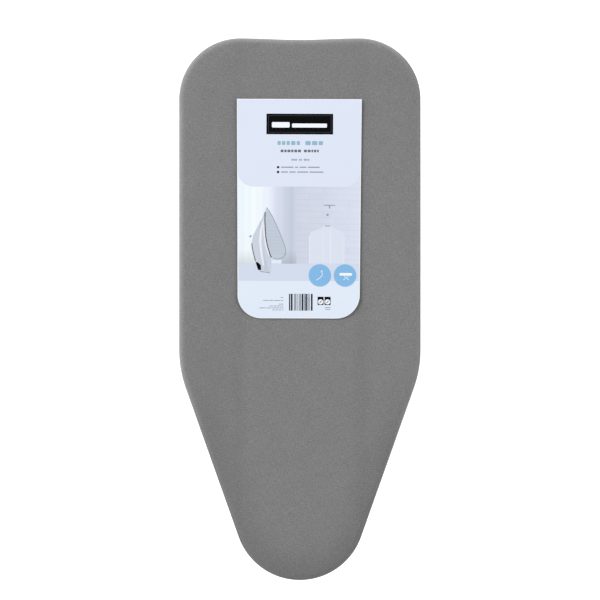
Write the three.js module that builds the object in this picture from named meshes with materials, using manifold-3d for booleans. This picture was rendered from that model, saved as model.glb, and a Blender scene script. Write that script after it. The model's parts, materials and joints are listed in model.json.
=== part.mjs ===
// Tabletop ironing board with two folding legs, standing on a table with its legs open.
// Millimetres. +Z is up, the table is z = 0, the wide end is at +Y, the nose is at -Y and the right side at +X.
// The origin is on the table under the middle of the board.
import * as THREE from 'three';
import { LoftGeometry } from 'three/addons/geometries/LoftGeometry.js';
import { mergeVertices } from 'three/addons/utils/BufferGeometryUtils.js';
import Module from 'manifold-3d';

const wasm = await Module();
wasm.setup();

// ---------- driving dimensions ----------

const LENGTH = 700;
const WIDTH = 312;
const HEIGHT = 150; // table to ironing surface
const CORNER_RADIUS = 79; // the wide end's two corners
const SHOULDER_RADIUS = 150; // where the straight sides turn into the taper
const SHOULDER_Y = -52; // where the straight sides end
const NOSE_RADIUS = 84;

const GAP = 0.3; // kept between pieces that touch
const COVER_THICKNESS = 0.8;
const COVER_EDGE_RADIUS = 8;
const COVER_RETURN = 27; // how far the cover runs in under the board, up to its hem
const HEM_SIZE = 4.2; // the hem hangs below the return
const HEM_LIP = 0.7;
const ELASTIC_RADIUS = 1;
const PAD_THICKNESS = 4;
const PAD_EDGE_THICKNESS = 3;
const PAD_EDGE_CHAMFER = 2;
const MESH_LAYER = 1.2; // overall thickness of the expanded metal
const MESH_SHEET = 0.35; // plain sheet with the same steel in it
const TUBE_RADIUS = 6; // rim and legs
const TUBE_WALL = 1;
const VENT_RADIUS = 1.5;

const RAIL_X = 78;
const RAIL_CROWN = 30;
const RAIL_FLANGE = 6;
const RAIL_SLOPE = 1.2; // how far each wall leans out towards its flange
const RAIL_STEEL = 0.8;
const RAIL_DEPTH = 11.8;

const WIDE_PIVOT_Y = 205;
const NOSE_PIVOT_Y = -168;
const LEG_ARM_X = 74;
const SPLAY = THREE.MathUtils.degToRad(12);
const LEG_FLARE = THREE.MathUtils.degToRad(20);
const LEG_FLARE_START = 32; // below the pivot
const LEG_FLARE_BEND = 25;
const LEG_CORNER_BEND = 16;
const LEG_TOP = 7; // tube end above the pivot
const PLUG_STEM = 5; // below the pivot
const PLUG_HEAD = 2.3;

const BRACKET_STEEL = 1.5;
const BRACKET_LENGTH = 36;
const BRACKET_DROP = 11; // top plate's underside to pivot
const EAR_CLEARANCE = 0.6;
const EAR_BELOW_PIVOT = 26;
const EAR_SIDE_HEIGHT = 4.5; // straight part of an ear's edge below the top plate
const EAR_FRONT_RADIUS = 7;
const EAR_BACK_RADIUS = 9;
const EAR_WAIST_Y = -9;
const STOP_START = 9; // along the leg, below the pivot
const STOP_END = 24;
const PIVOT_RIVET_RADIUS = 2.5;
const PIVOT_RIVET_HEAD = 4.8;
const BRACKET_RIVET_RADIUS = 2;
const BRACKET_RIVET_HEAD = 3.8;
const BRACKET_RIVET_SPACING = 26;
const RIVET_HEAD_HEIGHT = 1.8;

const FOOT_RADIUS = 9.2;
const FOOT_DROP = 9.5; // bar centre to table
const FOOT_FLAT = 13;
const FOOT_LENGTH = 28;
const FOOT_X = 67;

const LABEL_TOP_Y = 272;
const LABEL_LENGTH = 283.5;
const LABEL_TOP_WIDTH = 161;
const LABEL_BOTTOM_WIDTH = 157;
const LABEL_CORNER = 30;
const LABEL_THICKNESS = 0.5;
const LABEL_TURN = THREE.MathUtils.degToRad(-0.2);
const TAPE_THICKNESS = 0.5;
const TAPE_GAP = 0.1;
const TAPE_WIDTH = 90;
const TAPE_DEPTH = 12;
const TAPE_FROM_EDGE = 20;

// ---------- heights worked out from the top down ----------

const COVER_INNER_Z = HEIGHT - COVER_THICKNESS;
const PAD_TOP_Z = COVER_INNER_Z - GAP;
const PAD_BOTTOM_Z = PAD_TOP_Z - PAD_THICKNESS;
const MESH_MIDDLE_Z = PAD_BOTTOM_Z - GAP - MESH_LAYER / 2;
const FRAME_TOP_Z = PAD_BOTTOM_Z - GAP - MESH_LAYER - GAP;
const RIM_Z = FRAME_TOP_Z - TUBE_RADIUS;
const RETURN_TOP_Z = RIM_Z - TUBE_RADIUS - GAP;
const RETURN_BOTTOM_Z = RETURN_TOP_Z - COVER_THICKNESS;
const RAIL_BOTTOM_Z = FRAME_TOP_Z - RAIL_DEPTH;
const PLATE_TOP_Z = RAIL_BOTTOM_Z - GAP;
const PIVOT_Z = PLATE_TOP_Z - BRACKET_STEEL - BRACKET_DROP;
const LEG_LENGTH = (PIVOT_Z - FOOT_DROP) / Math.cos(SPLAY);

const HEM_BOTTOM_Z = RETURN_TOP_Z - HEM_SIZE;
const HEM_INSET = COVER_RETURN + HEM_SIZE; // the hem's free side, towards the middle of the board
const PAD_INSET = COVER_THICKNESS + GAP;
const RIM_INSET = PAD_INSET + PAD_EDGE_THICKNESS + GAP + TUBE_RADIUS;
const FRAME_INSIDE = RIM_INSET + TUBE_RADIUS + GAP;

// ---------- materials ----------

const paint = new THREE.MeshStandardMaterial({ color: 0xeeeeec, roughness: 0.4, metalness: 0.0 });
const zinc = new THREE.MeshStandardMaterial({ color: 0xb9bcc0, roughness: 0.35, metalness: 1.0 });
const cloth = new THREE.MeshStandardMaterial({ color: 0x808080, roughness: 0.9, metalness: 0.0 });
const felt = new THREE.MeshStandardMaterial({ color: 0xe4e2dc, roughness: 1.0, metalness: 0.0 });
const elastic = new THREE.MeshStandardMaterial({ color: 0x5a5a5c, roughness: 0.8, metalness: 0.0 });
const rubber = new THREE.MeshStandardMaterial({ color: 0x3c3d40, roughness: 0.75, metalness: 0.0 });
const plastic = new THREE.MeshStandardMaterial({ color: 0x47484b, roughness: 0.5, metalness: 0.0 });
const card = new THREE.MeshStandardMaterial({ color: 0xe2e8f6, roughness: 0.45, metalness: 0.0 });
const tape = new THREE.MeshStandardMaterial({ color: 0xd8d4c8, roughness: 0.7, metalness: 0.0 });

// ---------- helpers ----------

function toSolid(geometry) {
  const bare = new THREE.BufferGeometry();
  bare.setAttribute('position', geometry.getAttribute('position').clone());
  bare.setIndex(geometry.getIndex());
  const merged = mergeVertices(bare, 1e-3);
  const vertProperties = new Float32Array(merged.attributes.position.array);
  const triVerts = new Uint32Array(merged.index.array);
  return new wasm.Manifold(new wasm.Mesh({ numProp: 3, vertProperties, triVerts }));
}

function toGeometry(solid) {
  const { vertProperties, triVerts } = solid.getMesh();
  const geometry = new THREE.BufferGeometry();
  geometry.setAttribute('position', new THREE.BufferAttribute(vertProperties, 3));
  geometry.setIndex(new THREE.BufferAttribute(triVerts, 1));
  geometry.computeVertexNormals();
  return geometry;
}

function piece(name, geometry, material) {
  const mesh = new THREE.Mesh(geometry, material);
  mesh.name = name;
  return mesh;
}

// A shape drawn in the Y-Z plane, extruded along X about x = 0.
function extrudeAlongX(shape, length, curveSegments = 6) {
  const geometry = new THREE.ExtrudeGeometry(shape, { depth: length, bevelEnabled: false, curveSegments });
  geometry.translate(0, 0, -length / 2);
  geometry.applyMatrix4(new THREE.Matrix4().makeBasis(
    new THREE.Vector3(0, 1, 0), new THREE.Vector3(0, 0, 1), new THREE.Vector3(1, 0, 0)));
  return geometry;
}

// A shape drawn in the X-Y plane, from z = bottom up to z = top.
function slab(shape, bottom, top, curveSegments = 6) {
  const depth = top - bottom;
  return new THREE.ExtrudeGeometry(shape, { depth, bevelEnabled: false, curveSegments }).translate(0, 0, bottom);
}

function cylinderAlongX(radius, length, x = 0, sides = 16) {
  return new THREE.CylinderGeometry(radius, radius, length, sides).rotateZ(Math.PI / 2).translate(x, 0, 0);
}

function cylinderAlongZ(radius, length, x, y, z, sides = 12) {
  return new THREE.CylinderGeometry(radius, radius, length, sides).rotateX(Math.PI / 2).translate(x, y, z);
}

// A path of straight runs with its corners rounded. Each corner is [x, y, radius].
function filletedPath(corners) {
  const points = corners.map(([x, y]) => new THREE.Vector2(x, y));
  const path = new THREE.Path([points[0]]);
  path.moveTo(points[0].x, points[0].y);
  for (let i = 1; i < points.length - 1; i++) {
    const radius = corners[i][2];
    const incoming = points[i].clone().sub(points[i - 1]).normalize();
    const outgoing = points[i + 1].clone().sub(points[i]).normalize();
    const turn = Math.atan2(incoming.cross(outgoing), incoming.dot(outgoing));
    const side = Math.sign(turn);
    const start = points[i].clone().addScaledVector(incoming, -radius * Math.tan(Math.abs(turn) / 2));
    const normal = new THREE.Vector2(-incoming.y, incoming.x).multiplyScalar(side);
    const centre = start.clone().addScaledVector(normal, radius);
    const from = Math.atan2(start.y - centre.y, start.x - centre.x);
    path.lineTo(start.x, start.y);
    path.absarc(centre.x, centre.y, radius, from, from + turn, side < 0);
  }
  path.lineTo(points.at(-1).x, points.at(-1).y);
  return path;
}

// Round sections of one radius along a path in the X-Z plane.
function roundSections(path, radius, sides, arcSegments) {
  const isNew = (point, i, all) => i === 0 || point.distanceTo(all[i - 1]) > 1e-3;
  const points = path.getPoints(arcSegments).filter(isNew);
  return points.map((point, i) => {
    const before = points[Math.max(i - 1, 0)];
    const after = points[Math.min(i + 1, points.length - 1)];
    const incoming = point.clone().sub(before).normalize();
    const outgoing = after.clone().sub(point).normalize();
    const along = incoming.add(outgoing).normalize();
    return Array.from({ length: sides }, (_, k) => {
      const angle = (2 * Math.PI * (k + 0.5)) / sides;
      const sideways = radius * Math.cos(angle);
      return new THREE.Vector3(
        point.x - along.y * sideways, -radius * Math.sin(angle), point.y + along.x * sideways);
    });
  });
}

// A hollow tube: out along the outer wall, back along the bore, and closed on itself.
function hollowTube(path, outer, inner, sides, arcSegments) {
  const outside = roundSections(path, outer, sides, arcSegments);
  const bore = roundSections(path, inner, sides, arcSegments).reverse();
  return new LoftGeometry([...outside, ...bore, outside[0]]);
}

// A turned piece about Z. The profile is [radius, height] from the bottom centre to the top centre.
function turned(profile, sides) {
  const points = profile.map(([radius, height]) => new THREE.Vector2(radius, height));
  return new THREE.LatheGeometry(points, sides).rotateX(Math.PI / 2);
}

// A solid rivet about Z with two low domed heads, each bearing at +grip / 2 or -grip / 2.
function rivet(shank, head, grip, sides = 12) {
  const half = grip / 2;
  const dome = [[shank, half], [head, half], [head * 0.92, half + RIVET_HEAD_HEIGHT * 0.5],
    [head * 0.6, half + RIVET_HEAD_HEIGHT * 0.88], [0, half + RIVET_HEAD_HEIGHT]];
  const below = dome.map(([r, z]) => [r, -z]).reverse();
  return turned([...below, ...dome], sides);
}

// ---------- the board's outline ----------

// The outline is five arcs joined by straight lines, so moving it inwards only takes the inset off each
// radius. The taper's angle makes its line touch both the shoulder arc and the nose arc.
const shoulderX = WIDTH / 2 - SHOULDER_RADIUS;
const noseY = -LENGTH / 2 + NOSE_RADIUS;
const TAPER = Math.asin((SHOULDER_RADIUS - NOSE_RADIUS) / Math.hypot(shoulderX, SHOULDER_Y - noseY))
  + Math.atan2(shoulderX, SHOULDER_Y - noseY);
const cornerX = WIDTH / 2 - CORNER_RADIUS;
const cornerY = LENGTH / 2 - CORNER_RADIUS;
const OUTLINE_ARCS = [
  { x: shoulderX, y: SHOULDER_Y, radius: SHOULDER_RADIUS, from: -TAPER, to: 0, steps: 3 },
  { x: cornerX, y: cornerY, radius: CORNER_RADIUS, from: 0, to: Math.PI / 2, steps: 8 },
  { x: -cornerX, y: cornerY, radius: CORNER_RADIUS, from: Math.PI / 2, to: Math.PI, steps: 8 },
  { x: -shoulderX, y: SHOULDER_Y, radius: SHOULDER_RADIUS, from: Math.PI, to: Math.PI + TAPER, steps: 3 },
  { x: 0, y: noseY, radius: NOSE_RADIUS, from: Math.PI + TAPER, to: 2 * Math.PI - TAPER, steps: 12 },
];

// The outline moved in by inset, at one height, clockwise from above.
function ring([inset, z]) {
  const points = OUTLINE_ARCS.flatMap(({ x, y, radius, from, to, steps }) =>
    Array.from({ length: steps + 1 }, (_, i) => {
      const angle = THREE.MathUtils.lerp(from, to, i / steps);
      const r = radius - inset;
      return new THREE.Vector3(x + r * Math.cos(angle), y + r * Math.sin(angle), z);
    }));
  return points.reverse();
}

// A solid layer: its profile of [inset, z] runs from the top face round the edge to the bottom face.
function layer(profile) {
  return new LoftGeometry(profile.map(ring), { capStart: true, capEnd: true });
}

// A layer with a hollow under it that opens downwards.
function shell(outside, hollow) {
  return toGeometry(toSolid(layer(outside)).subtract(toSolid(layer(hollow))));
}

// A closed hoop round the board with a round section.
function hoop(inset, z, radius, sides) {
  const profile = Array.from({ length: sides + 1 }, (_, k) => {
    const angle = (2 * Math.PI * k) / sides;
    return [inset - radius * Math.cos(angle), z - radius * Math.sin(angle)];
  });
  return new LoftGeometry(profile.map(ring));
}

// ---------- soft layers ----------

// The two quarter turns of the cover's edge, for the face that lies at a depth inside the cloth.
function coverEdge(depth, steps = 3) {
  const radius = COVER_EDGE_RADIUS - depth;
  const top = HEIGHT - COVER_EDGE_RADIUS;
  const bottom = RETURN_BOTTOM_Z + COVER_EDGE_RADIUS;
  return [[top, Math.PI / 2, 0], [bottom, 0, -Math.PI / 2]].flatMap(([z, from, to]) =>
    Array.from({ length: steps + 1 }, (_, i) => {
      const angle = THREE.MathUtils.lerp(from, to, i / steps);
      return [COVER_EDGE_RADIUS - radius * Math.cos(angle), z + radius * Math.sin(angle)];
    }));
}

// The cover is one skin: top, edge and return, ending in a hem folded down and back under its elastic.
function ironingCover() {
  const fold = HEM_INSET - HEM_LIP;
  const outside = [
    ...coverEdge(0), [fold, RETURN_BOTTOM_Z], [fold, HEM_BOTTOM_Z + HEM_LIP],
    [COVER_RETURN, HEM_BOTTOM_Z + HEM_LIP], [COVER_RETURN, HEM_BOTTOM_Z], [HEM_INSET + 1, HEM_BOTTOM_Z],
  ];
  const hollow = [...coverEdge(COVER_THICKNESS), [HEM_INSET, RETURN_TOP_Z], [HEM_INSET, HEM_BOTTOM_Z - 1]];
  return shell(outside, hollow);
}

function hemElastic() {
  const inset = COVER_RETURN + (HEM_SIZE - HEM_LIP) / 2;
  const z = (RETURN_BOTTOM_Z + HEM_BOTTOM_Z + HEM_LIP) / 2;
  return hoop(inset, z, ELASTIC_RADIUS, 6);
}

// The pad lies flat on the mesh and folds down over the rim as far as the tube's middle.
function ironingPad() {
  const edge = COVER_EDGE_RADIUS;
  const skirt = PAD_INSET + PAD_EDGE_THICKNESS;
  const cut = PAD_EDGE_CHAMFER;
  const outside = [
    [edge, PAD_TOP_Z], [PAD_INSET + cut, PAD_TOP_Z - cut], [PAD_INSET, PAD_TOP_Z - edge], [PAD_INSET, RIM_Z],
  ];
  const hollow = [
    [skirt + 2 * cut, PAD_BOTTOM_Z], [skirt + cut, PAD_BOTTOM_Z - cut / 2], [skirt, RIM_Z + cut],
    [skirt, RIM_Z - 1],
  ];
  return shell(outside, hollow);
}

// ---------- the steel top ----------

// The rim is a hollow hoop with a small vent under the wide end, as a welded and powder-coated frame has.
function rimTube() {
  const outside = toSolid(hoop(RIM_INSET, RIM_Z, TUBE_RADIUS, 12));
  const bore = toSolid(hoop(RIM_INSET, RIM_Z, TUBE_RADIUS - TUBE_WALL, 8));
  const vent = cylinderAlongZ(VENT_RADIUS, 2 * TUBE_RADIUS, 0, LENGTH / 2 - RIM_INSET, RIM_Z - TUBE_RADIUS);
  return toGeometry(outside.subtract(bore).subtract(toSolid(vent)));
}

// The panel's edge lies just outside the crest of the rim tube.
function meshPanel() {
  const inset = RIM_INSET - TUBE_RADIUS / 3;
  return layer([[inset, MESH_MIDDLE_Z + MESH_SHEET / 2], [inset, MESH_MIDDLE_Z - MESH_SHEET / 2]]);
}

// A hat-section rail with its crown down, cut to the inside of the rim, with a hole for each bracket rivet.
function stiffenerRail(side) {
  const crown = RAIL_CROWN / 2;
  const tip = crown + RAIL_SLOPE + RAIL_FLANGE;
  const under = FRAME_TOP_Z - RAIL_STEEL;
  const right = [
    [crown, RAIL_BOTTOM_Z], [crown + RAIL_SLOPE, under], [tip, under], [tip, FRAME_TOP_Z],
    [crown, FRAME_TOP_Z], [crown - RAIL_STEEL, RAIL_BOTTOM_Z + RAIL_STEEL],
  ];
  const left = right.map(([y, z]) => [-y, z]).reverse();
  const section = new THREE.Shape([...right, ...left].map(([y, z]) => new THREE.Vector2(y, z)));
  const bar = extrudeAlongX(section, LENGTH).rotateZ(Math.PI / 2).translate(side * RAIL_X, 0, 0);
  const inside = layer([[FRAME_INSIDE, HEIGHT], [FRAME_INSIDE, PIVOT_Z]]);
  let solid = toSolid(bar).intersect(toSolid(inside));
  for (const pivotY of [WIDE_PIVOT_Y, NOSE_PIVOT_Y]) {
    for (const end of [-1, 1]) {
      const y = pivotY + (end * BRACKET_RIVET_SPACING) / 2;
      const hole = cylinderAlongZ(BRACKET_RIVET_RADIUS + GAP, 8, side * LEG_ARM_X, y, RAIL_BOTTOM_Z);
      solid = solid.subtract(toSolid(hole));
    }
  }
  return toGeometry(solid);
}

// ---------- one leg station: bracket, pivot rivet, leg, plugs and feet, about the pivot ----------

// A steel saddle: a top plate with two ears and a stop that the leg leans on when it is open.
function legBracket() {
  const plateBottom = BRACKET_DROP;
  const plateTop = BRACKET_DROP + BRACKET_STEEL;
  const half = BRACKET_LENGTH / 2;
  const earInside = TUBE_RADIUS + EAR_CLEARANCE;
  const width = 2 * (earInside + BRACKET_STEEL);

  const ear = new THREE.Shape();
  const frontY = EAR_WAIST_Y + EAR_FRONT_RADIUS;
  const backY = half - EAR_BACK_RADIUS;
  ear.moveTo(half, plateTop);
  ear.lineTo(-half, plateTop);
  ear.lineTo(-half, plateTop - EAR_SIDE_HEIGHT);
  ear.lineTo(EAR_WAIST_Y, 0);
  ear.absarc(frontY, EAR_FRONT_RADIUS - EAR_BELOW_PIVOT, EAR_FRONT_RADIUS, Math.PI, 1.5 * Math.PI, false);
  ear.absarc(backY, EAR_BACK_RADIUS - EAR_BELOW_PIVOT, EAR_BACK_RADIUS, 1.5 * Math.PI, 2 * Math.PI, false);
  ear.closePath();
  const bore = new THREE.Path().absarc(0, 0, PIVOT_RIVET_RADIUS + GAP, 0, 2 * Math.PI, true);
  ear.holes.push(bore);

  const plate = new THREE.Shape();
  plate.moveTo(-width / 2, -half);
  plate.lineTo(width / 2, -half);
  plate.lineTo(width / 2, half);
  plate.lineTo(-width / 2, half);
  plate.closePath();
  for (const end of [-1, 1]) {
    const y = (end * BRACKET_RIVET_SPACING) / 2;
    plate.holes.push(new THREE.Path().absarc(0, y, BRACKET_RIVET_RADIUS + GAP, 0, 2 * Math.PI, true));
  }

  const stopLength = STOP_END - STOP_START;
  const stop = new THREE.BoxGeometry(width - BRACKET_STEEL, BRACKET_STEEL, stopLength)
    .translate(0, TUBE_RADIUS + GAP + BRACKET_STEEL / 2, -(STOP_START + STOP_END) / 2)
    .rotateX(SPLAY);

  let solid = toSolid(slab(plate, plateBottom, plateTop)).add(toSolid(stop));
  for (const side of [-1, 1]) {
    const wall = extrudeAlongX(ear, BRACKET_STEEL).translate(side * (earInside + BRACKET_STEEL / 2), 0, 0);
    solid = solid.add(toSolid(wall));
  }
  return toGeometry(solid);
}

function pivotRivet() {
  const grip = 2 * (TUBE_RADIUS + EAR_CLEARANCE + BRACKET_STEEL + GAP);
  return rivet(PIVOT_RIVET_RADIUS, PIVOT_RIVET_HEAD, grip, 14).rotateY(Math.PI / 2);
}

function bracketRivet() {
  return rivet(BRACKET_RIVET_RADIUS, BRACKET_RIVET_HEAD, BRACKET_STEEL + RAIL_STEEL + 3 * GAP, 10);
}

// One bent tube: down from the right pivot, out, across the table and back up to the left pivot.
function legTube() {
  const cornerX = LEG_ARM_X + (LEG_LENGTH - LEG_FLARE_START) * Math.tan(LEG_FLARE);
  const rightHalf = [
    [LEG_ARM_X, LEG_TOP, 0],
    [LEG_ARM_X, -LEG_FLARE_START, LEG_FLARE_BEND],
    [cornerX, -LEG_LENGTH, LEG_CORNER_BEND],
  ];
  const leftHalf = rightHalf.map(([x, z, radius]) => [-x, z, radius]).reverse();
  const path = filletedPath([...rightHalf, ...leftHalf]);
  let solid = toSolid(hollowTube(path, TUBE_RADIUS, TUBE_RADIUS - TUBE_WALL, 12, 3));
  const bore = cylinderAlongX(PIVOT_RIVET_RADIUS + GAP, 20);
  for (const side of [-1, 1]) {
    solid = solid.subtract(toSolid(bore.clone().translate(side * LEG_ARM_X, 0, 0)));
  }
  return toGeometry(solid);
}

// A moulded plug in the tube's open end, cross-drilled for the pivot rivet.
function tubePlug() {
  const stem = TUBE_RADIUS - TUBE_WALL - GAP;
  const seat = LEG_TOP + GAP;
  const dome = [[1, 0], [0.9, 0.5], [0.5, 0.9], [0, 1]];
  const profile = [
    [0, -PLUG_STEM], [stem, -PLUG_STEM], [stem, seat],
    ...dome.map(([r, z]) => [TUBE_RADIUS * r, seat + PLUG_HEAD * z]),
  ];
  const bore = cylinderAlongX(PIVOT_RIVET_RADIUS + GAP, 20);
  return toGeometry(toSolid(turned(profile, 12)).subtract(toSolid(bore)));
}

// A rubber sleeve on the ground bar with a flat tread.
function footSleeve() {
  const heel = -FOOT_DROP;
  const half = FOOT_FLAT / 2;
  const section = new THREE.Shape();
  section.moveTo(-half, heel);
  section.lineTo(half, heel);
  section.absarc(0, 0, FOOT_RADIUS, -Math.PI / 6, (7 * Math.PI) / 6, false);
  section.closePath();
  section.holes.push(new THREE.Path().absarc(0, 0, TUBE_RADIUS + GAP, 0, 2 * Math.PI, true));
  return extrudeAlongX(section, FOOT_LENGTH, 8);
}

// turn is 0 for the wide end, whose leg leans out towards +Y, and PI for the nose.
function legStation(end, pivotY, turn) {
  const station = new THREE.Group();
  station.position.set(0, pivotY, PIVOT_Z);
  station.rotation.z = turn;

  const leg = new THREE.Group();
  leg.rotation.x = SPLAY;
  leg.add(piece(`${end}_leg_tube`, legTube(), paint));
  station.add(leg);

  for (const side of [-1, 1]) {
    const hand = side * Math.cos(turn) > 0 ? 'right' : 'left';

    const bracket = piece(`${end}_${hand}_leg_bracket`, legBracket(), paint);
    bracket.position.x = side * LEG_ARM_X;
    station.add(bracket);

    const pivot = piece(`${end}_${hand}_pivot_rivet`, pivotRivet(), zinc);
    pivot.position.x = side * LEG_ARM_X;
    station.add(pivot);

    for (const [place, y] of [['outer', 1], ['inner', -1]]) {
      const fixing = piece(`${end}_${hand}_${place}_bracket_rivet`, bracketRivet(), zinc);
      const middle = BRACKET_DROP + (BRACKET_STEEL + RAIL_STEEL + GAP) / 2;
      fixing.position.set(side * LEG_ARM_X, (y * BRACKET_RIVET_SPACING) / 2, middle);
      station.add(fixing);
    }

    const plug = piece(`${end}_${hand}_tube_plug`, tubePlug(), plastic);
    plug.position.x = side * LEG_ARM_X;
    leg.add(plug);

    const foot = piece(`${end}_${hand}_foot`, footSleeve(), rubber);
    foot.position.set(side * FOOT_X, 0, -LEG_LENGTH);
    foot.rotation.x = -SPLAY;
    leg.add(foot);
  }
  return station;
}

// ---------- the card on top ----------

function labelCard() {
  const top = LABEL_TOP_WIDTH / 2;
  const bottom = LABEL_BOTTOM_WIDTH / 2;
  const arcX = bottom - LABEL_CORNER;
  const arcY = LABEL_CORNER - LABEL_LENGTH;
  const shape = new THREE.Shape();
  shape.moveTo(-top, 0);
  shape.lineTo(-bottom, arcY);
  shape.absarc(-arcX, arcY, LABEL_CORNER, Math.PI, 1.5 * Math.PI, false);
  shape.absarc(arcX, arcY, LABEL_CORNER, -Math.PI / 2, 0, false);
  shape.lineTo(top, 0);
  shape.closePath();
  return slab(shape, 0, LABEL_THICKNESS, 10);
}

function labelGroup() {
  const group = new THREE.Group();
  group.position.set(0, LABEL_TOP_Y, HEIGHT);
  group.rotation.z = LABEL_TURN;
  const cardPiece = piece('label_card', labelCard(), card);
  cardPiece.position.z = TAPE_THICKNESS + 2 * TAPE_GAP;
  group.add(cardPiece);
  for (const [place, y] of [['upper', -TAPE_FROM_EDGE], ['lower', TAPE_FROM_EDGE - LABEL_LENGTH]]) {
    const shape = new THREE.BoxGeometry(TAPE_WIDTH, TAPE_DEPTH, TAPE_THICKNESS);
    const strip = piece(`label_${place}_tape`, shape, tape);
    strip.position.set(0, y, TAPE_GAP + TAPE_THICKNESS / 2);
    group.add(strip);
  }
  return group;
}

// ---------- assembly ----------

const board = new THREE.Group();
board.add(
  piece('ironing_cover', ironingCover(), cloth),
  piece('hem_elastic', hemElastic(), elastic),
  piece('ironing_pad', ironingPad(), felt),
  piece('mesh_panel', meshPanel(), paint),
  piece('rim_tube', rimTube(), paint),
  piece('left_stiffener_rail', stiffenerRail(-1), paint),
  piece('right_stiffener_rail', stiffenerRail(1), paint),
  labelGroup(),
  legStation('wide_end', WIDE_PIVOT_Y, 0),
  legStation('nose_end', NOSE_PIVOT_Y, Math.PI),
);

export default board;
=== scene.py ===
import json
import math
import random
from contextlib import contextmanager

import bmesh
import bpy
import numpy as np
from mathutils import Matrix, Vector


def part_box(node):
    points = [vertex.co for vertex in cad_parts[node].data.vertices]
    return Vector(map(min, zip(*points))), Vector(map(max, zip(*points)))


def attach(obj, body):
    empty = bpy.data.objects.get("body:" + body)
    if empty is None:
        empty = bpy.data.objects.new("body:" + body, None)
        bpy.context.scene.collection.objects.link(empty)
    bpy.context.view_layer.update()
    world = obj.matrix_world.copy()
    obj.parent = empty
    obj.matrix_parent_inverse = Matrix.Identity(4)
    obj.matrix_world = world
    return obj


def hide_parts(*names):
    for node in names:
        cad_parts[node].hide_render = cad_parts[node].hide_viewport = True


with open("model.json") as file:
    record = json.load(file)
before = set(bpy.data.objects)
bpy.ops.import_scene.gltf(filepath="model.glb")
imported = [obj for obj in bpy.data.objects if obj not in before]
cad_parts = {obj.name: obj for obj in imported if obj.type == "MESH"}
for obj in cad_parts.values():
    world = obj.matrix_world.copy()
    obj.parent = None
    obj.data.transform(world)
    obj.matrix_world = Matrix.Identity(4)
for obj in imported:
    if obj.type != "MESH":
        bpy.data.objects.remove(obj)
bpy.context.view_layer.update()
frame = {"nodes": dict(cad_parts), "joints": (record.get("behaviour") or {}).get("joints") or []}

MM = 0.001
BOARD = "board"


# ---------- places and sizes read from the frame ----------

def node_box(node):
    """Lowest and highest corner of a CAD node, in millimetres."""
    low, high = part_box(node)
    return np.array(low) / MM, np.array(high) / MM


_, COVER_HIGH = node_box("ironing_cover")
PAD_LOW, PAD_HIGH = node_box("ironing_pad")
RIM_LOW, RIM_HIGH = node_box("rim_tube")
MESH_LOW, MESH_HIGH = node_box("mesh_panel")
ELASTIC_LOW, ELASTIC_HIGH = node_box("hem_elastic")
CARD_LOW, _ = node_box("label_card")

HALF_WIDTH = COVER_HIGH[0]
HALF_LENGTH = COVER_HIGH[1]
TOP_Z = COVER_HIGH[2]
TUBE_RADIUS = (RIM_HIGH[2] - RIM_LOW[2]) / 2
RIM_Z = (RIM_HIGH[2] + RIM_LOW[2]) / 2
RIM_INSET = HALF_WIDTH - RIM_HIGH[0] + TUBE_RADIUS
ELASTIC_Z = (ELASTIC_HIGH[2] + ELASTIC_LOW[2]) / 2
ELASTIC_INSET = HALF_WIDTH - ELASTIC_HIGH[0] + (ELASTIC_HIGH[2] - ELASTIC_LOW[2]) / 2

# ---------- driving dimensions, in millimetres ----------

CORNER_RADIUS = 79.0
SHOULDER_RADIUS = 150.0
SHOULDER_Y = -52.0
NOSE_RADIUS = 84.0
TIGHT_RADIUS = 100.0  # arcs under this radius are the corners and the nose
TIGHT_REACH = 22.0  # how far along the rim their gathers fade out
FILL_INSET = 60.0  # rings from here to the spine close the middle of a soft layer
SPINE_END = 95.0  # how far the spine stops short of each end

CLOTH = 0.8
EDGE_RADIUS = 8.0
EDGE_ROLL = 1.3  # how much lower the cloth lies where the edge's curve starts
EDGE_ROLL_WIDTH = 24.0
RETURN_Z = 130.0  # outer face of the cloth where it runs back under the board
HEM_TAIL_INSET = 24.4  # where the folded hem ends
STITCH_INSET = 25.0
CASING_RADIUS = 1.25  # inside of the hem, round the elastic
GATHER_START = 3.0  # inset at which the first folds show
PAD_THICKNESS = 4.0

RAIL_X = 78.0
RAIL_CROWN = 30.0
RAIL_DIP = 0.4
TUBE_WALL = 1.0

SPLAY = math.radians(12)
LEG_ARM_X = 74.0
LEG_FLARE = math.radians(20)
LEG_FLARE_START = 32.0
LEG_FLARE_BEND = 25.0
LEG_CORNER_BEND = 16.0
LEG_TOP = 7.0
FOOT_RADIUS = 9.2
FOOT_DROP = 9.5
FOOT_FLAT = 13.0
FOOT_LENGTH = 28.0
FOOT_BORE = 6.3
FOOT_X = 67.0
RIVET_HEAD_HEIGHT = 1.8
PIVOT_HOLE = 2.8  # radius of the hole through a leg and its plug

PIVOTS = {joint["child"]: np.array(joint["pos_m"]) / MM for joint in frame["joints"]}
PIVOT_Z = PIVOTS["wide_end_leg"][2]
LEG_LENGTH = (PIVOT_Z - FOOT_DROP) / math.cos(SPLAY)
ENDS = {"wide_end": 1.0, "nose_end": -1.0}  # which way along Y each leg leans

CARD_LENGTH = 282.8
CARD_TOP_Y = 270.9
CARD_X = -0.6
CARD_TOP_WIDTH = 161.0
CARD_BOTTOM_WIDTH = 157.0
CARD_CORNER = 30.0
CARD_TURN = math.radians(-0.2)
CARD_THICKNESS = 0.4


# ---------- mesh helpers ----------

def smoothstep(low, high, value):
    """A smooth rise from 0 at low to 1 at high."""
    t = np.clip((np.asarray(value, float) - low) / (high - low), 0.0, 1.0)
    return t * t * (3.0 - 2.0 * t)


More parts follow.
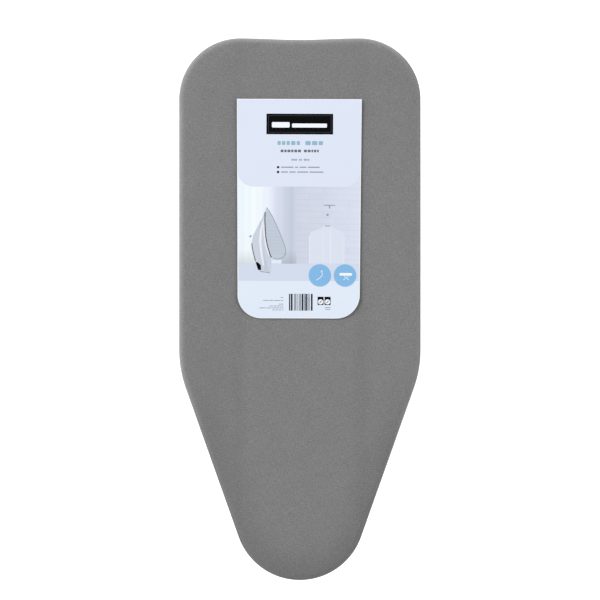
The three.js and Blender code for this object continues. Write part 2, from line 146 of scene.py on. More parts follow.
def grid_faces(rows, columns, wrap_rows=False, wrap_columns=True):
    """Quads of a grid of points numbered row by row. Either way round can close on itself."""
    index = np.arange(rows * columns).reshape(rows, columns)
    below = np.roll(index, -1, axis=0) if wrap_rows else index[1:]
    above = index if wrap_rows else index[:-1]
    quads = np.stack([above, below, np.roll(below, -1, axis=1), np.roll(above, -1, axis=1)], axis=-1)
    if not wrap_columns:
        quads = quads[:, :-1]
    return quads.reshape(-1, 4).tolist()


def add_object(name, data):
    """A new object in the scene."""
    obj = bpy.data.objects.new(name, data)
    bpy.context.scene.collection.objects.link(obj)
    return obj


def make_object(name, points, faces):
    """A mesh object from points in millimetres."""
    mesh = bpy.data.meshes.new(name)
    mesh.from_pydata((np.asarray(points, float).reshape(-1, 3) * MM).tolist(), [], faces)
    mesh.update()
    return add_object(name, mesh)


@contextmanager
def mesh_edit(obj):
    """Opens a piece's mesh for editing and writes the result back."""
    bm = bmesh.new()
    bm.from_mesh(obj.data)
    yield bm
    bm.to_mesh(obj.data)
    bm.free()


def clean(obj, merge=0.002):
    """Merges doubled points, drops faces with no area and turns all faces outwards."""
    with mesh_edit(obj) as bm:
        bmesh.ops.remove_doubles(bm, verts=bm.verts, dist=merge * MM)
        bmesh.ops.dissolve_degenerate(bm, edges=bm.edges, dist=0.5 * merge * MM)
        bmesh.ops.recalc_face_normals(bm, faces=bm.faces)


def shade(obj, sharp_degrees=40):
    """Smooth shading with creases at sharp edges."""
    obj.data.polygons.foreach_set("use_smooth", [True] * len(obj.data.polygons))
    obj.data.set_sharp_from_angle(angle=math.radians(sharp_degrees))


def modify(obj, kind, **settings):
    """Runs one modifier on a piece and keeps what it makes."""
    modifier = obj.modifiers.new(kind.lower(), kind)
    for name, value in settings.items():
        setattr(modifier, name, value)
    evaluated = obj.evaluated_get(bpy.context.evaluated_depsgraph_get())
    mesh = bpy.data.meshes.new_from_object(evaluated)
    mesh.name = obj.name
    obj.modifiers.clear()
    obj.data = mesh


def add_uv(obj, pattern):
    """Gives each corner its point's place in the flat pattern, in metres."""
    layer = obj.data.uv_layers.new(name="pattern")
    index = np.empty(len(obj.data.loops), int)
    obj.data.loops.foreach_get("vertex_index", index)
    layer.data.foreach_set("uv", (pattern[index] * MM).astype(np.float32).ravel())


def finish_piece(obj, material, body=BOARD):
    """Gives a piece its material and its body. NODE_visual stands for the CAD node NODE."""
    obj.data.materials.clear()
    obj.data.materials.append(material)
    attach(obj, body)
    if obj.name.endswith("_visual"):
        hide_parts(obj.name.removesuffix("_visual"))
    return obj


def make_piece(name, points, faces, material, body=BOARD, merge=0.002, sharp=40, pattern=None):
    """A finished piece straight from points in millimetres, with its flat pattern if it has one."""
    obj = make_object(name, points, faces)
    if pattern is not None:
        add_uv(obj, pattern)
    clean(obj, merge)
    shade(obj, sharp)
    return finish_piece(obj, material, body)


def round_angles(sides):
    """Equal steps round a full turn, from 0."""
    return [2 * math.pi * k / sides for k in range(sides)]


def bevelled_copy(node, width, segments=2):
    """A copy of a CAD node's mesh as a new piece, with its flat faces whole and its edges rounded."""
    obj = add_object(f"{node}_visual", frame["nodes"][node].data.copy())
    with mesh_edit(obj) as bm:
        bmesh.ops.remove_doubles(bm, verts=bm.verts, dist=0.001 * MM)
        bmesh.ops.dissolve_limit(bm, angle_limit=math.radians(1), verts=bm.verts, edges=bm.edges)
    modify(obj, "BEVEL", width=width * MM, segments=segments, limit_method="ANGLE",
           angle_limit=math.radians(40))
    shade(obj, 35)
    return obj


def turned(profile, sides=32):
    """Points and faces of a turned solid about Z. The profile is [radius, height], from pole to pole."""
    angles = np.arange(sides) * 2 * math.pi / sides
    rows = [[(r * math.cos(a), r * math.sin(a), z) for a in angles] for r, z in profile]
    return np.array(rows).reshape(-1, 3), grid_faces(len(profile), sides)


def rod_along_x(radius, length):
    """A closed cylinder about X, used to drill holes."""
    half = length / 2
    points, faces = turned([(0.001, -half), (radius, -half), (radius, half), (0.001, half)])
    return points[:, [2, 0, 1]], faces


def drill(obj, *rods):
    """Cuts rods, each (points, faces), out of a closed piece."""
    for points, faces in rods:
        cutter = make_object("drill", points, faces)
        clean(cutter)
        modify(obj, "BOOLEAN", operation="DIFFERENCE", solver="EXACT", object=cutter)
        bpy.data.objects.remove(cutter)


def closed_tube(first, rings, sides):
    """Faces of a tube with both ends closed, its points numbered from first."""
    last = first + (rings - 1) * sides
    faces = (np.array(grid_faces(rings, sides)) + first).tolist()
    faces.append([first + i for i in range(sides)])
    faces.append([last + i for i in reversed(range(sides))])
    return faces


def directions(path):
    """The unit direction of a path at each of its points."""
    steps = np.diff(path, axis=0)
    steps /= np.linalg.norm(steps, axis=1)[:, None]
    along = np.vstack([steps[:1], steps[1:] + steps[:-1], steps[-1:]])
    return along / np.linalg.norm(along, axis=1)[:, None]


# ---------- the board's outline ----------

# Five arcs joined by straight lines, so that moving the outline inwards only takes the inset off each radius.
shoulder_x = HALF_WIDTH - SHOULDER_RADIUS
nose_y = NOSE_RADIUS - HALF_LENGTH
TAPER = (math.asin((SHOULDER_RADIUS - NOSE_RADIUS) / math.hypot(shoulder_x, SHOULDER_Y - nose_y))
         + math.atan2(shoulder_x, SHOULDER_Y - nose_y))
corner_x = HALF_WIDTH - CORNER_RADIUS
corner_y = HALF_LENGTH - CORNER_RADIUS
OUTLINE_ARCS = [  # centre x, centre y, radius, first angle, last angle
    (shoulder_x, SHOULDER_Y, SHOULDER_RADIUS, -TAPER, 0.0),
    (corner_x, corner_y, CORNER_RADIUS, 0.0, math.pi / 2),
    (-corner_x, corner_y, CORNER_RADIUS, math.pi / 2, math.pi),
    (-shoulder_x, SHOULDER_Y, SHOULDER_RADIUS, math.pi, math.pi + TAPER),
    (0.0, nose_y, NOSE_RADIUS, math.pi + TAPER, 2 * math.pi - TAPER),
]


class Outline:
    """Points round the rim, anticlockwise from above, each with its outward normal."""

    def __init__(self, arc_step, line_step):
        points, normals, tight = [], [], []
        for k, (cx, cy, radius, first, last) in enumerate(OUTLINE_ARCS):
            is_tight = radius < TIGHT_RADIUS
            step = arc_step if is_tight else line_step
            count = max(2, round(radius * (last - first) / step))
            for angle in np.linspace(first, last, count, endpoint=False):
                normal = np.array([math.cos(angle), math.sin(angle)])
                points.append(np.array([cx, cy]) + radius * normal)
                normals.append(normal)
                tight.append(1.0 if is_tight else 0.0)
            following = OUTLINE_ARCS[(k + 1) % len(OUTLINE_ARCS)]
            normal = np.array([math.cos(last), math.sin(last)])
            start = np.array([cx, cy]) + radius * normal
            end = np.array(following[:2]) + following[2] * normal
            count = max(2, round(np.linalg.norm(end - start) / line_step))
            for share in np.linspace(0, 1, count, endpoint=False):
                points.append(start + share * (end - start))
                normals.append(normal)
                tight.append(0.0)
        self.points = np.array(points)
        self.normals = np.array(normals)
        steps = np.linalg.norm(np.roll(self.points, -1, axis=0) - self.points, axis=1)
        self.along = np.concatenate([[0.0], np.cumsum(steps)[:-1]])
        self.perimeter = float(steps.sum())
        self.tight = self.spread_out(np.array(tight), TIGHT_REACH)

    def __len__(self):
        return len(self.points)

    def spread_out(self, values, reach):
        """Values smoothed along the rim over a reach in millimetres."""
        gap = np.abs(self.along[:, None] - self.along[None, :])
        gap = np.minimum(gap, self.perimeter - gap)
        share = np.exp(-0.5 * (gap / reach) ** 2)
        width = 0.5 * (np.roll(self.along, -1) - np.roll(self.along, 1))
        width = np.where(width < 0, width + self.perimeter / 2, width)
        share = share * width[None, :]
        return (share @ values) / share.sum(axis=1)

    def inset(self, distance):
        return self.points - distance * self.normals

    def ring(self, distance, z):
        """The outline moved inwards, at one height."""
        flat = self.inset(distance)
        return np.column_stack([flat, np.broadcast_to(z, len(flat))])


def inset_of(outline, points):
    """How far inside the outline each point is, and the nearest station on it."""
    insets = np.empty(len(points))
    nearest = np.empty(len(points), int)
    chunk_size = 2000
    for start in range(0, len(points), chunk_size):
        chunk = points[start:start + chunk_size]
        gaps = outline.points[None] - chunk[:, None]
        which = np.argmin((gaps ** 2).sum(axis=2), axis=1)
        nearest[start:start + chunk_size] = which
        own = gaps[np.arange(len(chunk)), which]
        insets[start:start + chunk_size] = (own * outline.normals[which]).sum(axis=1)
    return insets, nearest


# ---------- how the soft layers lie ----------

def surface_sag(x, y):
    """How far the padded top sinks: a shallow channel over each rail, and a slow waviness."""
    over_rail = 1 - smoothstep(RAIL_CROWN / 2 - 5, RAIL_CROWN / 2 + 5, np.abs(np.abs(x) - RAIL_X))
    wave = 0.5 + 0.25 * np.sin(x / 23 + 0.6) * np.sin(y / 31 + 0.4) + 0.25 * np.sin(y / 47 + x / 60)
    return -RAIL_DIP * over_rail - 0.16 * wave


def edge_roll(inset):
    """How far the padded top has rounded down over the rim, at an inset."""
    return EDGE_ROLL * (1 - smoothstep(2, EDGE_ROLL_WIDTH, inset))


def wide_end_pull(x, y):
    """The cover draws the middle of the wide end's straight edge inwards a little."""
    across = np.cos(np.clip(x / corner_x, -1, 1) * math.pi / 2) ** 2
    return -1.9 * across * smoothstep(HALF_LENGTH - 55, HALF_LENGTH - 15, y)


def lay_down(points):
    """Points of the top face with the sag and the wide end's pull put in."""
    x, y, z = points.T
    return np.column_stack([x, y + wide_end_pull(x, y), z + surface_sag(x, y)])


def pulled_in(ring):
    """A ring with the wide end's pull put in."""
    ring[:, 1] += wide_end_pull(ring[:, 0], ring[:, 1])
    return ring


def fill_rings(outline, z, shares):
    """Level rings between the outline's FILL_INSET ring and the board's spine."""
    inner = outline.inset(FILL_INSET)
    reach = HALF_LENGTH - SPINE_END
    spine = np.column_stack([np.zeros(len(outline)), np.clip(inner[:, 1], -reach, reach)])
    return [np.column_stack([inner + share * (spine - inner), np.full(len(outline), z)]) for share in shares]


def gather_waves(outline):
    """Two uneven waves round the hem, short at the corners and the nose and longer on the straights."""
    length = 14.0 - 6.0 * outline.tight
    rate = 2 * math.pi / length
    step = np.diff(np.append(outline.along, outline.perimeter))
    phase = np.concatenate([[0.0], np.cumsum(rate * step)])
    turns = round(phase[-1] / (2 * math.pi))
    phase = phase[:-1] * (2 * math.pi * turns / phase[-1])
    lap = 2 * math.pi * outline.along / outline.perimeter
    phase = phase + 1.1 * np.sin(17 * lap + 0.3) + 0.8 * np.sin(41 * lap + 1.1) + 0.4 * np.sin(83 * lap)
    uneven = 0.75 + 0.25 * np.sin(29 * lap + 2.0) * np.sin(11 * lap + 0.5)
    fold = uneven * (0.5 + 0.5 * np.sin(phase)) ** 1.4
    bulge = uneven * (0.5 + 0.5 * np.sin(phase + 1.3))
    return fold, bulge


# ---------- materials ----------

def linear(value):
    """One sRGB channel, 0 to 255, as linear light."""
    share = value / 255
    return share / 12.92 if share <= 0.04045 else ((share + 0.055) / 1.055) ** 2.4


LIGHT_LEVEL = 1.44  # how bright a plain white top face is under the lights


def seen(red, green, blue):
    """The surface colour that looks like this sRGB colour on the top of the board."""
    return (linear(red) / LIGHT_LEVEL, linear(green) / LIGHT_LEVEL, linear(blue) / LIGHT_LEVEL, 1.0)


class Nodes:
    """Makes and joins shader nodes in one node tree."""

    def __init__(self, tree):
        self.tree = tree

    def put(self, socket, value):
        """Fills a socket with a value or with another node's output."""
        if isinstance(value, bpy.types.NodeSocket):
            self.tree.links.new(value, socket)
        else:
            socket.default_value = value

    def fill(self, node, **sockets):
        for name, value in sockets.items():
            self.put(node.inputs[name.replace("_", " ")], value)

    def node(self, kind, output, setting=(), **sockets):
        """One output of a new node. Its setting is (property, value)."""
        node = self.tree.nodes.new(f"ShaderNode{kind}")
        if setting:
            setattr(node, *setting)
        self.fill(node, **sockets)
        return node.outputs[output]

    def span(self, value, low, high, from_low=0.0, from_high=1.0):
        """A 0 to 1 pattern stretched to run from low to high."""
        return self.node("MapRange", "Result", Value=value, From_Min=from_low, From_Max=from_high,
                         To_Min=low, To_Max=high)


class Surface(Nodes):
    """A Principled material and the few nodes that its pattern needs."""

    def __init__(self, name, roughness, **sockets):
        self.material = bpy.data.materials.new(name)
        self.material.use_nodes = True
        super().__init__(self.material.node_tree)
        self.shader = self.tree.nodes["Principled BSDF"]
        self.fill(self.shader, Roughness=roughness, **sockets)

    def place(self, source="Object", scale=(1, 1, 1), turn=0.0):
        """Coordinates in metres on the piece, or in its flat pattern with source UV."""
        return self.node("Mapping", "Vector", Vector=self.node("TexCoord", source),
                         Rotation=(0, 0, turn), Scale=scale)

    def noise(self, where, size, detail=2.0, roughness=0.5, distortion=0.0):
        """Noise whose blotches are about size millimetres across."""
        return self.node("TexNoise", "Fac", Vector=where, Scale=1 / (size * MM), Detail=detail,
                         Roughness=roughness, Distortion=distortion)

    def patches(self, where, size, low, high, **noise):
        """A share that runs from low to high in blotches about size millimetres across."""
        return self.span(self.noise(where, size, **noise), low, high, 0.3, 0.7)

    def wave(self, where, period, direction, distortion=0.0):
        """Bands with a period in millimetres across X, Y, Z or DIAGONAL."""
        return self.node("TexWave", "Fac", ("bands_direction", direction), Vector=where,
                         Scale=2 * math.pi / (20 * period * MM), Distortion=distortion)

    def math(self, operation, *values):
        node = self.tree.nodes.new("ShaderNodeMath")
        node.operation = operation
        for socket, value in zip(node.inputs, values):
            self.put(socket, value)
        return node.outputs["Value"]

    def times(self, share, *others):
        """Several patterns multiplied together."""
        for other in others:
            share = self.math("MULTIPLY", share, other)
        return share

    def ramp(self, value, *stops):
        """Colours along a pattern, each stop (position, colour)."""
        color = self.node("ValToRGB", "Color", Fac=value)
        elements = color.node.color_ramp.elements
        while len(elements) < len(stops):
            elements.new(1.0)
        for element, (position, shade_there) in zip(elements, stops):
            element.position = position
            element.color = shade_there
        return color

    def tint(self, color, share):
        """A colour made lighter or darker by a share that varies over the surface."""
        if isinstance(color, tuple):
            color = color[:3]
        return self.node("VectorMath", "Vector", ("operation", "SCALE"), Vector=color, Scale=share)

    def finish(self, color, relief, depth, strength=1.0, roughness=None):
        """Joins the patterns to the shader. The relief's depth is in millimetres."""
        normal = self.node("Bump", "Normal", Height=relief, Distance=depth * MM, Strength=strength)
        self.fill(self.shader, Base_Color=color, Normal=normal)
        if roughness:
            self.fill(self.shader, Roughness=roughness)
        return self.material


def plain_weave(s, where, pitch):
    """Height of a plain weave: warp and weft threads that take turns on top."""
    warp = s.wave(where, pitch, "X", distortion=0.25)
    weft = s.wave(where, pitch, "Y", distortion=0.25)
    across = s.math("GREATER_THAN", s.wave(where, 2 * pitch, "X"), 0.5)
    down = s.math("GREATER_THAN", s.wave(where, 2 * pitch, "Y"), 0.5)
    warp_on_top = s.math("ABSOLUTE", s.math("SUBTRACT", across, down))
    weft_on_top = s.math("SUBTRACT", 1.0, warp_on_top)
    return s.math("ADD", s.times(warp, warp_on_top), s.times(weft, weft_on_top))


def cloth_material():
    """Plain-woven grey cotton, its threads laid out in the flat pattern, slubby and slightly mottled, with
    painted shade between the threads and painted highlight and shade from the tone attribute.
    """
    s = Surface("cover_cotton", 0.92, Sheen_Weight=0.5, Sheen_Roughness=0.5, Specular_IOR_Level=0.2)
    where = s.place("UV")
    weave = plain_weave(s, where, 0.55)
    slub_warp = s.noise(s.place("UV", (1.0, 0.12, 1.0)), 0.9)
    slub_weft = s.noise(s.place("UV", (0.12, 1.0, 1.0)), 0.9)
    slubs = s.span(s.math("ADD", slub_warp, slub_weft), 0.86, 1.14, 0.7, 1.3)
    grain = s.patches(where, 1.7, 0.68, 1.32, detail=3.0, roughness=0.8)
    mottle = s.patches(where, 26, 0.975, 1.025)
    # The tone attribute brings in painted highlight and painted shade; the weave term darkens the gaps
    # between threads, a painted shade.
    tone = s.node("Attribute", "Fac", ("attribute_name", "tone"))
    share = s.times(grain, mottle, slubs, s.span(weave, 0.80, 1.10), tone)
    relief = s.math("ADD", weave, s.times(slubs, 1.2))
    return s.finish(s.tint(seen(128, 128, 128.5), share), relief, 0.07, 0.8)


def thread_material():
    """Twisted polyester sewing thread."""
    s = Surface("hem_thread", 0.7, Sheen_Weight=0.2)
    where = s.place()
    color = s.tint(seen(118, 118, 120), s.span(s.noise(where, 1.5), 0.85, 1.15))
    return s.finish(color, s.wave(where, 0.5, "DIAGONAL"), 0.04)


def elastic_material():
    """Braided round elastic: crossing strands, with painted shade in the gaps between them."""
    s = Surface("braided_elastic", 0.8, Sheen_Weight=0.15)
    left = s.wave(s.place("UV"), 1.1, "DIAGONAL")
    right = s.wave(s.place("UV", (-1, 1, 1)), 1.1, "DIAGONAL")
    braid = s.math("MAXIMUM", left, right)
    # The colour ramp darkens the low gaps of the braid: painted shade.
    return s.finish(s.ramp(braid, (0.2, seen(92, 92, 94)), (0.9, seen(120, 120, 123))), braid, 0.12)


def felt_material():
    """Needled polyester felt: matted fibres with a few darker flecks."""
    s = Surface("needled_felt", 0.98, Sheen_Weight=0.3, Sheen_Roughness=0.8)
    where = s.place()
    fibres = s.noise(s.place(scale=(1, 2.6, 1)), 1.4, detail=5.0, roughness=0.72, distortion=1.2)
    mottle = s.patches(where, 9, 0.95, 1.04, detail=3.0)
    flecks = s.span(s.noise(where, 0.9, detail=1.0), 1.0, 0.8, 0.68, 0.74)
    share = s.times(s.span(fibres, 0.84, 1.08, 0.3, 0.7), mottle, flecks)
    return s.finish(s.tint((0.62, 0.61, 0.57), share), fibres, 0.35, 0.8)


def paint_material():
    """White powder coat over steel: slight orange peel, uneven gloss and a few dusty patches."""
    s = Surface("white_powder_coat", 0.4, Coat_Weight=0.12, Coat_Roughness=0.2)
    where = s.place()
    cloud = s.patches(where, 30, 0.93, 1.03, detail=4.0, roughness=0.6)
    gloss = s.patches(where, 6, 0.33, 0.5, detail=3.0)
    return s.finish(s.tint((0.66, 0.665, 0.66), cloud), s.noise(where, 1.1, detail=1.5), 0.03, 0.6, gloss)


def zinc_material():
    """Zinc-plated steel with fine spangle and rubbed patches."""
    s = Surface("zinc_plate", 0.35, Metallic=1.0)
    where = s.place()
    spangle = s.patches(where, 0.8, 0.82, 1.1, detail=3.0)
    rubbed = s.patches(where, 1.5, 0.25, 0.5, detail=4.0)
    return s.finish(s.tint((0.60, 0.61, 0.63), spangle), s.noise(where, 0.4, detail=3.0), 0.02, 0.5, rubbed)


def rubber_material():
    """Matt dark rubber with a bloom that is lighter in patches."""
    s = Surface("foot_rubber_grain", 0.78, Specular_IOR_Level=0.35)
    where = s.place()
    bloom = s.span(s.noise(where, 5, detail=5.0), 0.8, 1.5, 0.35, 0.75)
    matt = s.patches(where, 2.5, 0.66, 0.88, detail=4.0)
    return s.finish(s.tint((0.048, 0.049, 0.052), bloom), s.noise(where, 0.35), 0.035, 0.6, matt)


def plastic_material():
    """Moulded grey plastic with a fine spark-eroded grain."""
    s = Surface("moulded_plastic", 0.5)
    where = s.place()
    cloud = s.patches(where, 3, 0.88, 1.15, detail=4.0)
    satin = s.patches(where, 1.2, 0.42, 0.6)
    return s.finish(s.tint((0.062, 0.063, 0.066), cloud), s.noise(where, 0.3), 0.02, 0.6, satin)


def tape_material():
    """Double-sided tissue tape: pale, slightly fibrous adhesive."""
    s = Surface("tissue_tape", 0.6)
    fibres = s.patches(s.place(scale=(0.4, 2, 1)), 1.2, 0.88, 1.08, detail=4.0, distortion=0.6)
    return s.finish(s.tint((0.55, 0.53, 0.46), fibres), s.noise(s.place(), 0.8), 0.04, 0.6)


def ink_material(name, color, gloss=0.3):
    """Printed card: satin, with the faint unevenness of ink on paper fibre."""
    s = Surface(name, 0.5, Specular_IOR_Level=gloss)
    fibre = s.noise(s.place("UV"), 1.1, detail=4.0, roughness=0.6)
    satin = s.span(fibre, 0.44, 0.56, 0.3, 0.7)
    return s.finish(s.tint(color, s.span(fibre, 0.98, 1.02, 0.3, 0.7)), fibre, 0.008, 0.5, satin)


# ---------- the cover ----------

HEM_ARC_STEP = 1.1  # fine enough for the gathers at the corners and the nose
HEM_LINE_STEP = 2.9
FILL_RINGS = 10  # between the board's spine and the innermost offset ring


def cover_profile():
    """The cloth's outer face from the top, round the edge and back to the elastic: insets and heights."""
    rows = [(inset, TOP_Z) for inset in (FILL_INSET, 50, 40, 31, 23, 17, 12, EDGE_RADIUS)]
    for angle in np.linspace(math.pi / 2, 0, 7)[1:]:
        rows.append((EDGE_RADIUS * (1 - math.cos(angle)), TOP_Z - EDGE_RADIUS * (1 - math.sin(angle))))
    for angle in np.linspace(0, -math.pi / 2, 7):
        rows.append((EDGE_RADIUS * (1 - math.cos(angle)), RETURN_Z + EDGE_RADIUS * (1 + math.sin(angle))))
    return_insets = (10.5, 13, 15.5, 18, 20.5, 22.8, STITCH_INSET, ELASTIC_INSET - 1.6)
    return rows + [(inset, RETURN_Z) for inset in return_insets]


CASING_ANGLES = np.linspace(math.pi / 2, -math.pi * 0.62, 7)


def casing_row(angle, bulge):
    """Inset and height of the casing's inner face about the elastic. Angle 0 faces the board's middle."""
    radius = CASING_RADIUS + bulge * max(0.0, math.cos(angle * 0.8)) * 1.05
    return ELASTIC_INSET + radius * math.cos(angle), ELASTIC_Z + radius * math.sin(angle)


def hem_drop(outline, fold):
    """How far the gathered hem hangs below its lie on the straights and at the corners."""
    return fold * (0.45 + 0.85 * outline.tight)


def gathered(outline, inset, fold):
    """The downward shift of the return at an inset: folds that start on the edge and deepen to the hem."""
    start = smoothstep(GATHER_START, STITCH_INSET, inset)
    belly = np.sin(math.pi * float(np.clip((inset - GATHER_START) / (STITCH_INSET - GATHER_START), 0, 1)))
    return hem_drop(outline, fold) * start + fold * (0.4 + 1.5 * outline.tight) * belly


def cover_rings(outline):
    """Every ring of the cover's outer face, with its place in the flat pattern."""
    fold, bulge = gather_waves(outline)
    bulge = bulge * (0.35 + 0.65 * outline.tight)
    rings, pattern = [], []

    def add(ring, distance):
        """One more ring, at a distance beyond the rim in the flat pattern."""
        rings.append(pulled_in(ring))
        pattern.append(outline.points + distance * outline.normals)

    for ring in fill_rings(outline, TOP_Z, np.linspace(1, 0, FILL_RINGS + 1)[:-1]):
        rings.append(lay_down(ring))
        pattern.append(ring[:, :2])
    distance = -FILL_INSET
    last = (FILL_INSET, TOP_Z)
    for inset, z in cover_profile():
        distance += math.hypot(inset - last[0], z - last[1])
        last = (inset, z)
        ring = outline.ring(inset, z)
        if z > TOP_Z - EDGE_RADIUS:
            eased = smoothstep(TOP_Z - EDGE_RADIUS, TOP_Z, z)
            ring[:, 2] += eased * (surface_sag(ring[:, 0], ring[:, 1]) - edge_roll(inset))
        if z < RETURN_Z + EDGE_RADIUS:
            ring[:, 2] -= gathered(outline, inset, fold)
        add(ring, distance)
    drop = hem_drop(outline, fold)
    for angle in CASING_ANGLES:
        rows = np.array([casing_row(angle, b) for b in bulge])
        distance += CASING_RADIUS * 0.6
        add(np.column_stack([outline.points - rows[:, :1] * outline.normals, rows[:, 1] - drop]), distance)
    for inset, below in ((26.4, 0.75), (25.4, 0.12), (HEM_TAIL_INSET, 0.1)):
        ring = outline.ring(inset, RETURN_Z - below)
        ring[:, 2] -= gathered(outline, inset, fold)
        distance += 1.1
        add(ring, distance)
    return np.array(rings), np.array(pattern)


SETTLE_FRAMES = 20
SETTLE_GROWTH = 0.015  # how much longer the gathered cloth is than its path
SETTLE_CAP = 1.2  # no point moves farther than this, in millimetres
SETTLE_RISE = 0.15  # nor higher than this, so that the cloth stays clear of the rim's tube
SETTLE_ROWS = 10  # rings of the return that take part, besides the seam's own


def settle_return(rings):
    """Lets the return relax as cloth, held where it leaves the rim and along the hem's seam."""
    seam = FILL_RINGS + [inset for inset, _ in cover_profile()].index(STITCH_INSET)
    band = rings[seam - SETTLE_ROWS:seam + 1]
    count = band.shape[1]
    obj = make_object("return_cloth", band, grid_faces(len(band), count))
    held = obj.vertex_groups.new(name="held")
    held.add(list(range(2 * count)), 1.0, "REPLACE")
    held.add(list(range(SETTLE_ROWS * count, len(band) * count)), 1.0, "REPLACE")
    modifier = obj.modifiers.new("cloth", "CLOTH")
    modifier.collision_settings.use_collision = False
    modifier.point_cache.frame_start = 1
    modifier.point_cache.frame_end = SETTLE_FRAMES
    cloth = modifier.settings
    cloth.quality = 6
    cloth.mass = 0.15
    cloth.tension_stiffness = 12
    cloth.compression_stiffness = 12
    cloth.shear_stiffness = 4
    cloth.bending_stiffness = 0.6
    cloth.vertex_group_mass = "held"
    cloth.shrink_min = -SETTLE_GROWTH
    cloth.effector_weights.gravity = 0
    for number in range(1, SETTLE_FRAMES + 1):
        bpy.context.scene.frame_set(number)
    settled = obj.evaluated_get(bpy.context.evaluated_depsgraph_get()).data
    points = np.empty(band.size)
    settled.vertices.foreach_get("co", points)
    move = points.reshape(band.shape) / MM - band
    length = np.linalg.norm(move, axis=2, keepdims=True)
    move *= np.minimum(1.0, SETTLE_CAP / np.maximum(length, 1e-9))
    move[:, :, 2] = np.minimum(move[:, :, 2], SETTLE_RISE)
    rings[seam - SETTLE_ROWS:seam + 1] += move
    bpy.data.objects.remove(obj)
    bpy.context.scene.frame_set(1)


def painted_light_and_tone(x, y, inset):
    """How light the cloth is, mostly painted light: painted shade over each rail, along the tapered edges and
    towards the nose, a painted highlight along the rest of the rim that is weaker at the right, and a thin
    painted shade line at the very edge of the right and tapered sides. It is also darker outside the left
    rail and at the wide end."""
    middle = smoothstep(250, 120, y) * smoothstep(-250, -150, y)
    # painted shade in the shallow dip over each rail
    channel = np.exp(-((np.abs(x) - RAIL_X - 2) / 8.5) ** 2)
    outer = smoothstep(RAIL_X + 8, RAIL_X + 22, -x)
    tapered = smoothstep(-60, -210, y)
    # painted shade where the tapered edges roll down
    taper_shade = tapered * smoothstep(48, 6, inset)
    # painted shade towards the nose end
    nose = smoothstep(-250, -345, y)
    right = smoothstep(120, 150, x)
    # painted highlight along the top of the rim, none on the tapered part and weaker at the right
    upper_edge = smoothstep(9, 1, inset) * smoothstep(-16, -6, inset)
    rim_highlight = upper_edge * (1 - tapered) * (1 - 0.45 * right)
    # painted shade line at the very edge of the right and tapered sides
    edge_shade_line = smoothstep(2.4, -1, inset) * smoothstep(-9, -6, inset) * np.maximum(tapered, right)
    wide_end = smoothstep(150, 330, y)
    darker = ((0.03 + 0.05 * middle) * channel + 0.05 * outer * middle + 0.13 * taper_shade + 0.06 * nose
              + 0.035 * wide_end)
    return 1 + 0.24 * rim_highlight - darker - 0.45 * edge_shade_line


def edge_insets(outline, pattern):
    """How far inside the rim each ring of the flat pattern lies, below zero beyond the rim."""
    return ((outline.points[None] - pattern) * outline.normals[None]).sum(axis=2).ravel()


def build_cover(material):
    """The cover, with its flat size in metres and its flat area in square metres."""
    outline = Outline(arc_step=HEM_ARC_STEP, line_step=HEM_LINE_STEP)
    rings, pattern = cover_rings(outline)
    settle_return(rings)
    obj = make_object("ironing_cover_visual", rings, grid_faces(len(rings), len(outline)))
    flat = pattern.reshape(-1, 2)
    add_uv(obj, flat)
    # The tone attribute holds painted highlight and painted shade at the rim, over the rails and towards the
    # nose, besides the cloth's own darker areas.
    tone = obj.data.attributes.new("tone", "FLOAT", "POINT")
    fill = np.full(FILL_RINGS * len(outline), FILL_INSET)
    insets = np.concatenate([fill, edge_insets(outline, pattern[FILL_RINGS:])])
    tone.data.foreach_set("value", painted_light_and_tone(flat[:, 0], flat[:, 1], insets).astype(np.float32))
    with mesh_edit(obj) as bm:
        bmesh.ops.remove_doubles(bm, verts=bm.verts, dist=0.005 * MM)
    modify(obj, "SOLIDIFY", thickness=CLOTH * MM, offset=-1)
    shade(obj, 60)
    finish_piece(obj, material)
    edge = pattern[-1]
    area = 0.5 * abs(np.sum(edge[:, 0] * np.roll(edge[:, 1], -1) - np.roll(edge[:, 0], -1) * edge[:, 1]))
    size = edge.max(axis=0) - edge.min(axis=0)
    return obj, tuple(size * MM), area * MM * MM


def build_elastic(material):
    """The round elastic in the hem, a closed loop that follows the gathers."""
    outline = Outline(arc_step=1.6, line_step=3.2)
    fold, _ = gather_waves(outline)
    drop = hem_drop(outline, fold)
    radius = (ELASTIC_HIGH[2] - ELASTIC_LOW[2]) / 2
    rings, pattern = [], []
    for angle in round_angles(10):
        ring = outline.ring(ELASTIC_INSET - radius * math.cos(angle),
                            ELASTIC_Z + radius * math.sin(angle) - drop)
        rings.append(pulled_in(ring))
        pattern.append(np.column_stack([outline.along, np.full(len(outline), radius * angle)]))
    faces = grid_faces(len(rings), len(outline), wrap_rows=True)
    return make_piece("hem_elastic_visual", rings, faces, material,
                      pattern=np.array(pattern).reshape(-1, 2))


